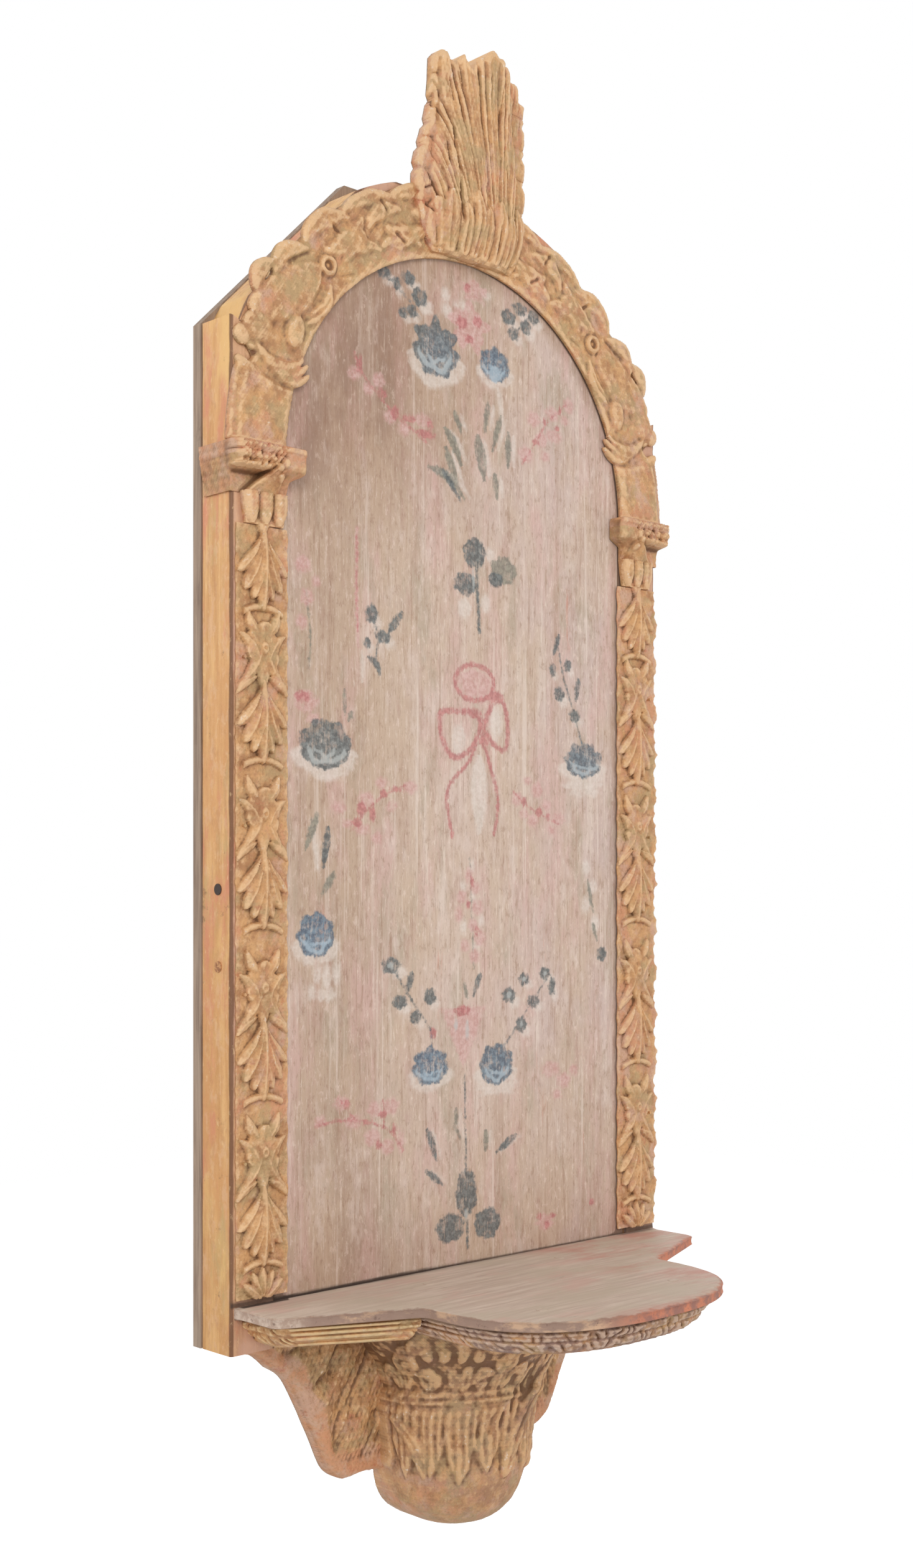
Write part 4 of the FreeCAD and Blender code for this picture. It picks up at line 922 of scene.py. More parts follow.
def capital(step=0.7):
    """A worn capital that wraps from the panel over the stile's front and a little way round its side, and three
    tongues under it. The block is a height over a path in plan; at the corner its normal turns from front to side.
    Over the panel it is a smooth block. Over the stile it is broken leaves, which narrow to a funnel over the
    tongues, with a slanting hollow between the funnel and the corner that painted shade darkens."""
    low, high = box_mm("capital_left")
    outer, front, turn = -HALF, 92, np.radians(np.linspace(0, 90, 12))[1:-1]
    side_run = np.linspace(FACE, -14.0, 44)
    z = np.arange(CAPITAL_FOOT, CAPITAL_TOP, step)
    t = ((z - CAPITAL_FOOT) / (CAPITAL_TOP - CAPITAL_FOOT))[None]
    inner = -167.0 - 11.0 * (1 - rise(t, 0.30, 0.22)) - 1.6 * rise(t, 0.9, 0.1)
    start = np.concatenate([np.linspace(0, 1, front), np.ones(len(turn) + len(side_run))])[:, None]
    X = inner + (outer - inner) * start
    by = np.concatenate([np.full(front + len(turn), FACE), side_run])[:, None]
    nx = np.concatenate([np.zeros(front), -np.sin(turn), -np.ones(len(side_run))])[:, None]
    ny = np.concatenate([-np.ones(front), -np.cos(turn), np.zeros(len(side_run))])[:, None]
    # a running length over the front and round the side, and the height over the foot
    S = np.where(nx < -0.99, outer - (by - FACE), X) + 0 * t
    T = t + 0 * S
    up = T * 34.8
    over_panel = rise(S, -187, 3)
    full = 4.5 + 10.5 * rise(T, -0.1, 0.75) + 1.3 * rise(T, 0.84, 0.05) - 2.0 * rise(T, 0.96, 0.04)
    broken = (1.7 * wobble(S * 5.2, up * 6.0, 0.9) + 1.3 * wobble(S * 10.5, up * 12.0, 2.2)
              + 0.8 * wobble(S * 21, up * 19, 4.4)) * rise(T, 0.3, 0.25) * (1 - over_panel)
    knobs, pits = np.zeros_like(S), np.zeros_like(S)
    for s, h, wide, tall in KNOBS:
        d = np.hypot(S - s, up - h) / wide
        knobs = np.maximum(knobs, tall * np.sqrt(np.clip(1 - d * d, 0, 1)))
    for s, h, wide, deep in PITS:
        pits = pits + deep * hump(np.hypot(S - s, up - h), 0, wide)
    # the slanting hollow, and the plain ground left of it
    slant = (S + 225) - (4.0 + 1.15 * up)
    plain = fade(slant, 5.0, 3.0) * fade(T, 0.50, 0.12)
    crease = hump(slant, 3.2, 2.2) * fade(T, 0.62, 0.2)
    funnel = 1.2 * np.cos((S + 197) * 0.28) * fade(T, 0.45, 0.2)
    h = full + broken + knobs * (1 - over_panel) + funnel - pits * (1 - over_panel)
    h = h * (1 - plain) + (1.2 + 0.5 * wobble(S * 4, up * 4, 1.3)) * plain - 4.5 * crease
    h = h - 3.0 * over_panel * (1 - rise(T, 0.40, 0.2)) + 0.9 * over_panel * hump(T, 0.52, 0.09)
    end = np.clip((S + 167 + 11 * (1 - rise(T, 0.30, 0.22))) / -4.0, 0, 1)
    h = h * (0.70 + 0.30 * np.sqrt(end)) + 0.4 * wobble(S * 5, up * 5, 0.4) + 0.25 * wobble(S * 14, up * 13, 2.4)
    side = np.clip(-nx, 0, 1) + 0 * T
    cheek = 0.8 + 3.2 * rise(T, 0.1, 0.6) + 1.0 * rise(T, 0.66, 0.08) + 0.7 * wobble(S * 7, up * 7, 3.0)
    h = np.clip(h, 0.9, 17.6) * (1 - side) + np.clip(cheek, 0.3, 6.4) * side
    base = np.stack([X + 0 * T, by + 0 * T, z[None] + 0 * S], -1)
    block = outward(*shell(base + np.stack([nx, ny, 0 * nx], -1) * h[:, :, None], base))
    # the hollow mark: depth below the surroundings, with painted shade in the slanting crease and on the side face
    hollow = 0.6 * (blurred(h, 3) - h) + 1.2 * crease + 0.55 * side
    r = Relief(-219.0, -176.0, 544.5, 567.5, 0.6)
    middle = -197.5
    r.add(np.minimum(19.8 - np.abs(r.X - middle) - 0.16 * (566 - r.Z), np.minimum(r.Z - 545.2, 567.2 - r.Z)), 3.2)
    for k in (-1, 0, 1):
        r.leaf((middle + 12.8 * k, 576.0), (middle + 11.6 * k, 545.2), 13.4, 5.6 + 0.6 * k, belly=0.5, ground=3.0,
               hollow=0.1, blunt=0.45)
    r.H = r.H + 0.4 * r.wave(9, 9, 1.0)
    tongues = outward(*r.part(low[1] + 0.05))
    return together(block, tongues), np.concatenate([hollow.ravel(), np.full(hollow.size, 0.5), r.hollow])


part, hollow = capital()
height = part[0][:, 2]
pair("capital", "capital", hollow, part, (gilt, gilt_pink),
     (np.where(height > 590, 2.6, 0.6), np.where(height > 593, 0.8, 0.0)))

# ---------------------------------------------------------------- carved arch

# angle and radius of a leaf's foot and tip, width, height, bend, and how many lobes its edge has
ARCH_LEAVES = rows("""44 226 57 220 17 3.2 .14 2, 47 210 60 216 20 3.4 -.12 3, 50 197 62 190 15 3 .18 2,
    56 226 70 224 13 2.8 .08 2, 60 208 71 214 15 3.6 .16 3, 62 192 75 187 13 3.2 .15 2, 65 204 77 200 18 4 -.14 3,
    68 222 80 225 13 3 .1 2, 73 197 86 188 14 3.4 .12 2, 74 212 88 215 19 4 -.12 3, 80 204 90 200 14 3.6 .1 2""")
# angle and radius of a cut's ends, width and depth
ARCH_CUTS = rows("""17.6 232 18.6 214 5 5, 31 190 38 183 3 2.2, 36 229 45 217 3.4 2.4, 52 224 53 212 3.4 3,
    66 226 67 212 3.4 3.4, 70 188 67 200 3.6 3.4, 78 228 79 216 3.4 2.6, 47 190 52 184 2.6 1.8,
    84 192 86 204 2.8 2.4""")


def at(angle, radius):
    """A point of the arch, by its angle above the left spring point and its radius."""
    w = math.radians(180 - angle)
    return radius * math.cos(w), SPRING + radius * math.sin(w)


def arch_half(step=0.7):
    """Half of the carved arch: a ring between two circles with a plain block at its foot, curls round a bud, a
    broad smooth leaf and a rosette, then low leaves and flowers that climb to the plume."""
    low, high = box_mm("arch_frieze_left")
    r = Relief(low[0] - 1, high[0] + 1, low[2] - 1, high[2] + 1, step)
    radius, angle = np.hypot(r.X, r.Z - SPRING), np.degrees(np.arctan2(r.Z - SPRING, -r.X))
    scallop = 1.5 * np.abs(np.sin(np.radians(angle) * 15)) + 0.9 * wobble(angle * 9, 0, 0.8)
    outer = ARCH_RIM - 0.4 - np.where(angle > 16, scallop, 0.6) - 11.0 * hump(angle, 17.4, 1.5)
    inside = np.minimum(np.minimum(outer - radius, radius - ARCH),
                        np.minimum(np.minimum(r.Z - low[2], high[0] - r.X), r.X - low[0]) - 0.2)
    r.add(inside, 1.8 + 1.6 * rise(inside, 0, 3.0) + 0.4 * r.wave(3, 3, 0.5))
    r.H = np.where(inside > 0, np.maximum(r.H, 2.7 * fade(radius - ARCH, 6.5, 2.5) + 0.3), r.H)
    block = np.minimum((15.6 - angle) * 3.4, np.minimum(226 - radius, radius - ARCH - 0.3))
    r.add(np.minimum(block, inside), 2.4 * rise(block, 0, 5) + 0.8 * r.wave(2.2, 2.0, 1.4), 3.4)
    # curls below the bud, the bud, and the smooth leaves over it
    r.leaves(rows("-206 672 -162 668 11 3.2 -.26, -198 661 -158 665 9 2.8 -.22, -188 653 -157 658 7.5 2.4 -.18, "
                  "-222 660 -200 650 10 2.2 -.1"), ground=3.2, blunt=0.5)
    r.boss(-171, 687, 13.5, 4.6, ground=3.6, stretch=0.62, turn=math.pi / 2 - 0.12, power=0.55)
    r.boss(-203, 684, 13.5, 3.8, ground=3.0, stretch=0.9, turn=0.5, power=0.6)
    r.boss(-216, 676, 7.5, 2.8, ground=2.6, power=0.6)
    r.leaf((-210, 694), (-148, 738), 34, 3.6, bend=-0.06, belly=0.5, ground=3.4, hollow=0.25, blunt=0.5)
    r.leaf((-190, 724), (-158, 748), 15, 2.8, bend=0.18, ground=3.6, blunt=0.55)
    r.leaf((-206, 708), (-188, 734), 13, 3.0, bend=0.16, ground=3.0, blunt=0.55)
    r.leaf((-153, 700), (-138, 727), 9, 3.2, bend=-0.12, ground=3.6, rib=-0.3)
    r.leaf((-160, 694), (-147, 712), 8, 2.6, bend=-0.1, ground=3.6)
    r.ring(-141, 740, 5.6, 3.8, 3.2, ground=4.2)
    r.boss(-141, 740, 2.2, 1.6, ground=3.6)
    r.pit(-141, 746.5, 2.0, 1.2)
    for a0, r0, a1, r1, wide, tall, bend, lobes in ARCH_LEAVES:
        r.leaf(at(a0, r0), at(a1, r1), wide, tall, bend=bend, rib=-0.15, lobes=lobes, lobe=0.16, veins=2, ground=3.0,
               blunt=0.55)
    for a, rad, size in ((56.5, 203, 9.5), (67.5, 193, 7.5), (79.5, 207, 9.5)):
        r.flower(*at(a, rad), size, 3.4, 5, a * 0.1, ground=3.8)
    r.cuts([(*at(a0, r0), *at(a1, r1), wide, deep) for a0, r0, a1, r1, wide, deep in ARCH_CUTS])
    r.H = blurred(r.H, 1) + 0.7 * r.wave(2.2, 2.0, 3.0) + 0.3 * r.wave(8, 7, 1.0)
    r.H = np.maximum(r.H + 0.16 * r.wave(31, 27, 2.0), 0.9)
    return r.part(low[1] + 0.05), r.hollow


part, hollow = arch_half()
x, _, z = part[0].T
bare = smooth((wobble(x * 0.7, z * 0.7, 1.9) - 0.15) * 3)
bare = np.maximum(bare, np.where(z < 656, fade(x, -221, 3), 0))
pair("arch_carving", "arch_frieze", hollow, part, (gilt, gilt_pink), (bare, bare), 1.5)

# ---------------------------------------------------------------- plume

# the line of tips, and the half widths of the plume and of its fluted body, each by height
PLUME_TOP = rows("""-58 845, -56 861, -54.5 878, -46.5 881, -45.5 902, -44 914, -41 921, -36 926.5, -31 925.5, -27 921,
    -24.5 917, -21 923.5, -17 927, -14 922.5, -10.5 918, -7.5 917, -5 924, -1.5 929.5, 3 930, 6 932, 10 937, 15 939.6,
    19 937.5, 25 936.5, 33 932.5, 36 929, 37.5 926.5, 49.3 926, 50.2 912, 56.8 910.5, 57.8 896""")
PLUME_LEFT = rows("""774 40, 782 47, 796 53, 812 57, 826 57.8, 838 57, 850 54, 862 49.5, 874 46, 886 43, 905 41,
    940 39.5""")
PLUME_RIGHT = rows("774 44, 782 50, 796 54, 812 57, 826 57.6, 845 57.8")
BODY_LEFT = rows("774 36, 800 44, 830 47, 850 45, 870 40, 890 37, 940 37")
BODY_RIGHT = rows("774 38, 800 44, 830 45, 860 43, 900 40, 940 38")
BARBS_LEFT = rows("889 2.4, 870 2.6, 851 2.6, 834 2.4, 815 2")
BARBS_RIGHT = rows("893 3.6, 868 4.2, 846 3.6, 822 3.4")
# the leaves at its foot: x, heights of foot and tip, width, height over the dome, bend
PLUME_LEAVES = rows("""-41 778 806 17 3.4 .06, -29 775 814 18 4 .05, -15 775 806 16 4.4 0, -4 775 818 14 4.2 -.04,
    8 775 808 16 4.6 .03, 22 775 816 18 4.2 -.03, 35 776 808 17 3.8 -.05, 46 780 818 13 3 -.06""")
PLUME_CUTS = rows("""-28 872 -21 832 3.6 4, -21 834 -18 794 3.4 3.6, -41 896 -42 880 3.6 3.6, -31 908 -26 886 3 3,
    -24 914 -17 892 3 3.2, -34 860 -29 838 2.6 2.6, 6 836 7 812 3.2 3.4, 1 832 2 814 2.6 2.6, 20 806 21 782 3.6 4,
    -2 922 -1 896 2.4 2.4, 12 924 10 890 2.4 2.2, 26 918 22 880 2.4 2.4, 33 900 30 862 2.6 2.6, 29 856 31 826 3 3,
    -45 826 -40 812 3.6 3, -52 818 -44 822 3 2.6, -50 808 -42 800 3 2.6""")


def follow(line, value):
    """The height of a line of points over each value."""
    return np.interp(value, *zip(*line))


def plume(step=0.62):
    """The tall plume. Its outline is a line of tips: a rounded one at the left, a small spike, and a taller pointed
    group at the right, with barbs that step down both sides. Its body is domed across and thins away at its foot.
    Long flutes are rounded ridges of even width at the top that draw together towards the foot."""
    low, high = box_mm("crest_plume")
    r = Relief(-58.4, 58.4, low[2] - 1, high[2] + 1, step)
    z = r.Z - low[2]
    top = follow(PLUME_TOP, r.X)
    slope = np.gradient(top, step, axis=0)
    left, right = follow(PLUME_LEFT, r.Z), follow(PLUME_RIGHT, r.Z)
    for barb, deep in BARBS_RIGHT:
        right = right - deep * np.clip(1 - np.abs(r.Z - barb) / 5, 0, 1)
    for barb, deep in BARBS_LEFT:
        left = left - deep * np.clip(1 - np.abs(r.Z - barb) / 4, 0, 1)
    inside = np.minimum(np.minimum((top - r.Z) / np.sqrt(1 + slope ** 2), z - 0.3), np.minimum(r.X + left, right - r.X))
    half = np.where(r.X < 0, follow(BODY_LEFT, r.Z), follow(BODY_RIGHT, r.Z))
    across = np.abs(r.X) / half
    dome = (11.0 + 8.5 * np.sqrt(np.clip(1 - across ** 2, 0, 1))) * (0.60 + 0.40 * rise(z, 0, 36))
    outside = rise(across, 0.97, 0.06)
    steps = np.abs(np.sin(r.Z * 0.125 + 0.5 * np.sign(r.X))) ** 0.5
    barbs = (8.2 + 2.6 * steps - 0.12 * (np.abs(r.X) - half)) * (0.66 + 0.34 * rise(z, 0, 36))
    gather = rise(r.Z, 786, 150)
    q = (r.X - 6.0 - 9.0 * (1 - gather)) / (0.42 + 0.58 * gather ** 1.3)
    ridge = np.abs(np.sin(math.pi * (q / 12.5 + 0.26 * np.sin(q * 0.23 + 1.0)) + 0.4 * wobble(q * 2, r.Z * 0.9, 1.7)))
    depth = (3.4 + 2.2 * wobble(q * 1.6, r.Z * 0.7, 3.1)) * (0.45 + 0.55 * rise(np.abs(r.Z - 848), 0, 34))
    fine = np.abs(np.sin(math.pi * q / 4.4 + 0.9 * r.wave(3, 1, 0.2)))
    fluted = (dome - depth * (1 - ridge ** 0.9) * rise(r.Z, 782, 50)
              - 0.6 * (1 - fine) * (1 + wobble(q * 1.3, r.Z * 0.5, 5.0)))
    r.add(inside, 0.0)
    r.H = np.where(inside > 0, fluted * (1 - outside) + np.minimum(barbs, fluted + 1) * outside, r.H)
    r.H = r.H - 1.6 * (1 - rise(inside, 0, 2.2))
    for x, base, height, wide, tall, bend in PLUME_LEAVES:     # they curl forward
        r.leaf((x * 0.9, base), (x, height + 8), wide, tall + 0.8, bend=bend, belly=0.38, ground=dome - 0.8, rib=-0.35,
               curl=-0.3, blunt=0.5)
    r.cuts(PLUME_CUTS)
    r.H = np.clip(r.H + 0.5 * r.wave(8, 3, 0.7) + 0.35 * r.wave(20, 9, 2.7), 4.2, 23.9)
    return r.part(low[1] + 0.05), r.hollow


part, hollow = plume()
x, _, z = part[0].T
bare = np.maximum(smooth((wobble(x * 1.3, z * 0.4, 0.2) - 0.1) * 3), 3.2 * fade(x, -38, 8) * fade(z, 900, 20))
carved("plume_crest", "crest_plume", hollow, part, gilt, bare, 0.8)

# ---------------------------------------------------------------- shelf


def superellipse(half_x, half_y, count):
    """The round front from left to right: both half axes times cosine and sine to 2 over the power."""
    w = np.linspace(math.pi, 0, count)
    c, s = np.cos(w), np.sin(w)
    return half_x * np.sign(c) * np.abs(c) ** (2 / BULGE_POWER), BULGE_ROOT - half_y * np.abs(s) ** (2 / BULGE_POWER)


def run_along(xs, ys, count):
    """The same line with count points at even distances, and the length up to each point."""
    length = np.concatenate([[0], np.cumsum(np.hypot(np.diff(xs), np.diff(ys)))])
    even = np.linspace(0, length[-1], count)
    return np.interp(even, length, xs), np.interp(even, length, ys), even


def rounded(xs, ys, reach):
    """A line with its corners eased: each point is the mean of its neighbours, while the ends stay."""
    kernel = np.ones(2 * reach + 1) / (2 * reach + 1)
    x, y = (np.convolve(np.pad(a, reach, mode="edge"), kernel, "valid") for a in (xs, ys))
    keep = smooth(np.minimum(np.arange(len(xs)), np.arange(len(xs))[::-1]) / (1.5 * reach))
    return xs + (x - xs) * keep, ys + (y - ys) * keep


def shelf_outline(inset, count):
    """The shelf's edge from the left back corner, round the ear, the round front and the other ear."""
    ear_y = FACE - EAR_DEPTH + inset * math.hypot(1, EAR_SLOPE)
    joint = BULGE_HALF - inset
    x0, y0 = superellipse(joint, BULGE_REACH - inset, 200)
    ear = [-(EAR_END - inset), -(EAR_END - inset), -joint]
    ear_front = [FACE, ear_y, ear_y - EAR_SLOPE * (EAR_END - BULGE_HALF)]
    xs = np.concatenate([ear, [-joint], x0[1:-1], [joint], [-x for x in ear[::-1]]])
    ys = np.concatenate([ear_front, [BULGE_ROOT], y0[1:-1], [BULGE_ROOT], ear_front[::-1]])
    xs, ys, length = run_along(xs, ys, count)
    return rounded(xs, ys, max(2, count // 110)) + (length,)


def shelf_board(count=560):
    """The board: section loops from the back line over the top, round the worn rim and back underneath, carried
    along the outline."""
    low, high = box_mm("shelf_board")
    xs, ys, length = shelf_outline(0.4, count)
    back_x = -EAR_END + 0.4 + np.linspace(0, 1, count) * 2 * (EAR_END - 0.4)
    inward = np.array([np.gradient(ys), -np.gradient(xs)])
    inward = inward / np.maximum(np.hypot(*inward), 1e-9)
    shares = np.concatenate([np.linspace(0, 0.9, 34), np.linspace(0.9, 1, 12)[1:]])
    wear = 0.7 * wobble(length * 1.4, 0, 0.7) + 0.9 * np.clip(wobble(length * 3.1, 0, 1.9), 0, 1)
    thick = -low[2] - 0.4
    pull = np.minimum(np.minimum(length, length[-1] - length) / 8, 1)
    loops, rims = [], []

    def across(a, top):
        """One loop at the share a of the way from the back line to the edge, on the top or underneath."""
        X, Y = back_x * (1 - a) + xs * a, FACE * (1 - a) + ys * a
        reach = np.hypot(xs - back_x, ys - FACE) * (1 - a)
        ease = 1.6 * np.exp(-reach / 3.0) * pull
        Z = (-0.25 - ease * 0.7 - 0.12 * (1 + wobble(X * 1.2, Y * 2, 0.5))) if top else (-thick + ease * 0.8)
        loops.append(np.stack([X, Y, Z], -1))
        rims.append(np.exp(-reach / 7.0) if top else np.full(count, 1.4))

    for a in shares:
        across(a, True)
    for w in np.radians(np.linspace(90, -90, 11))[1:-1]:
        out = 1.5 * (math.cos(w) - 0.25) * pull - 1.1 * np.clip(wear, -0.3, 1.2)
        X, Y = xs + inward[0] * -out * 0.6, ys + inward[1] * -out * 0.6
        Z = -thick / 2 + (thick / 2 - 1.3) * math.sin(w) + 0 * X
        loops.append(np.stack([np.clip(X, -EAR_END + 0.1, EAR_END - 0.1), np.clip(Y, low[1] + 0.1, FACE), Z], -1))
        rims.append(np.full(count, 1.15))
    for a in shares[::-1]:
        across(a, False)
    points, rim = np.stack(loops, 1), np.stack(rims, 1)
    x, y, _ = points.reshape(-1, 3).T
    red = np.maximum(rise(x, 45, 50), rise(x, -70, 60) * rise(rim.ravel(), 0, 0.4))
    # a strip along the back edge for painted shadow against the panel, heavier on the left
    line = smooth((y - FACE + 1.5 + 4.4 * rise(np.abs(x), 174, 4)) / 1.6) * fade(np.abs(x), 219, 3)
    put("shelf_top", outward(*loft(points)), "painted_shelf", painted_shelf, "shelf_board", 60, rim=capped(rim, 1),
        under=capped((rim > 1.3) * 1.0, 1), right=capped(red), left=capped(fade(x, -196, 14)),
        back=capped((0.9 - 0.5 * rise(x, -120, 120)) * line))


shelf_board()


def moulding(side, path, count, finish, seed, leafy, draw_in=0.0, painted_light_and_dirt=1.0):
    """Carved edge moulding: a hollowed profile at insets from the shelf's edge is carried along the edge. Three
    half round fillets stand on it; where leafy, for a share of the length, rises to 1, they give way to two rows of
    broken, overlapping leaves. Draw_in is how far the whole profile steps back over the last third."""
    low, high = box_mm(f"shelf_moulding_{side}")
    low_x, high_x = low[0] + 0.02, high[0] - 0.02
    w = np.linspace(0, 1, 46)[None]
    lines = [path(inset, count) for inset in 8.2 + 12.0 * w[0] ** 1.15]
    back_x, back_y = (values[:, None] for values in path(31.0, count)[:2])
    S = lines[8][2][:, None]
    share = S / S.max()
    leaf = np.clip(leafy(share), 0, 1)
    fillets = np.zeros_like(S * w)
    for centre, half, tall in ((0.13, 0.085, 2.6), (0.36, 0.10, 3.0), (0.61, 0.10, 2.4), (0.90, 0.07, 1.6)):
        fillets = fillets + tall * np.sqrt(np.clip(1 - ((w - centre) / half) ** 2, 0, 1))
    tilt = 1.6 * np.sin(S * 0.07 + seed)
    stray = 1.9 * wobble(S * 0.9, w * 16, seed + 4)
    row_a = (np.abs(np.sin(math.pi * (S / 17.0 + tilt * 0.3 + (w - 0.28) * 1.1 + stray))) ** 0.7
             * hump(w, 0.26, 0.18, 4))
    row_b = (np.abs(np.sin(math.pi * (S / 21.0 - tilt * 0.3 - (w - 0.72) * 1.3 + 0.3 - stray))) ** 0.7
             * hump(w, 0.70, 0.21, 4))
    rough = 1.0 * wobble(S * 5, w * 70, seed) + 0.7 * wobble(S * 11, w * 160, seed + 2)
    leaves = ((3.2 + 1.6 * wobble(S * 0.6, w * 9, seed + 6)) * row_a
              + (3.0 - 1.6 * wobble(S * 0.7, w * 8, seed + 7)) * row_b + rough - 0.2)
    push = (fillets * (1 - leaf) + leaves * leaf + 0.2 * wobble(S * 3, w * 60, seed + 1)
            - draw_in * rise(share, 0.62, 0.2))
    X, Y = (np.stack([line[k] for line in lines], 1) for k in (0, 1))
    away = np.stack([back_x - X, back_y - Y], -1)
    away = away / np.maximum(np.hypot(away[..., 0], away[..., 1]), 1e-6)[..., None]
    X, Y = X - away[..., 0] * push, Y - away[..., 1] * push
    front = np.stack([np.clip(X, low_x, high_x), np.clip(Y, low[1] + 0.02, high[1]),
                      np.repeat(-9.05 - w * 17.9, count, 0)], -1)
    rear = np.stack([np.repeat(np.clip(back_x, low_x, high_x), 6, 1), np.repeat(back_y, 6, 1),
                     np.repeat(np.linspace(-26.9, -9.1, 6)[None], count, 0)], -1)
    # the hollow mark: painted shade and grime in the grooves, painted highlight on the fillets
    depth = 1.1 * (blurred(push, 3) - push) - 0.25 * (1 - leaf)
    bare = smooth(wobble(S * 0.9, w * 30, seed + 1) * 2)
    put(f"{side}_edge_moulding", outward(*loft(np.concatenate([front, rear], 1))), "gilt_wood", finish,
        f"shelf_moulding_{side}", 50, hollow=capped(np.concatenate([painted_light_and_dirt * depth, np.full((count, 6), 0.8)], 1)),
        bare=capped(np.concatenate([bare, np.zeros((count, 6))], 1)))


def front_path(inset, count):
    """The round front's edge at that inset."""
    x, y = superellipse(BULGE_HALF - inset, BULGE_REACH - inset, 240)
    start = -103.0
    return run_along(np.concatenate([[x[0]], x, [x[-1]]]), np.concatenate([[start], y, [start]]), count)


def ear_path(side):
    """The edge of one ear at an inset, from the wall end round to the round front."""
    def path(inset, count):
        end, joint = EAR_END - inset, 120.4
        ear_y = FACE - EAR_DEPTH + inset * math.hypot(1, EAR_SLOPE)
        x, y, length = run_along(np.array([end, end, joint]),
                                 np.array([FACE - 0.1, ear_y, ear_y - EAR_SLOPE * (EAR_END - joint)]), count)
        x, y = rounded(x, y, 6)
        return side * x, y, length
    return path


moulding("front", front_path, 460, gilt_dull, 0.3, lambda share: 0.35 + 1.6 * share, draw_in=7.0)
moulding("left", ear_path(-1), 200, gilt_bright, 1.2,
         lambda share: 0.75 * rise(share, 0.8, 0.2) + 0.9 * fade(share, 0.36, 0.06), painted_light_and_dirt=0.55)
moulding("right", ear_path(1), 200, gilt_dull, 2.5, lambda share: 0 * share + 1)

# ---------------------------------------------------------------- bracket

CORBEL_TOP, CORBEL_DROP, CORBEL_RADIUS, CORBEL_AXIS = -27.0, 173.8, 100.0, -31.0
DEGREE = 1.15             # millimetres of the face for each degree, on the middle
# shares of the radius and of the drop
CORBEL_PROFILE = rows("""1 0, .97 .08, .85 .175, .75 .26, .68 .335, .70 .37, .66 .405, .62 .475, .60 .59, .59 .70,
    .56 .80, .49 .89, .36 .955, .18 .992, 0 1""")


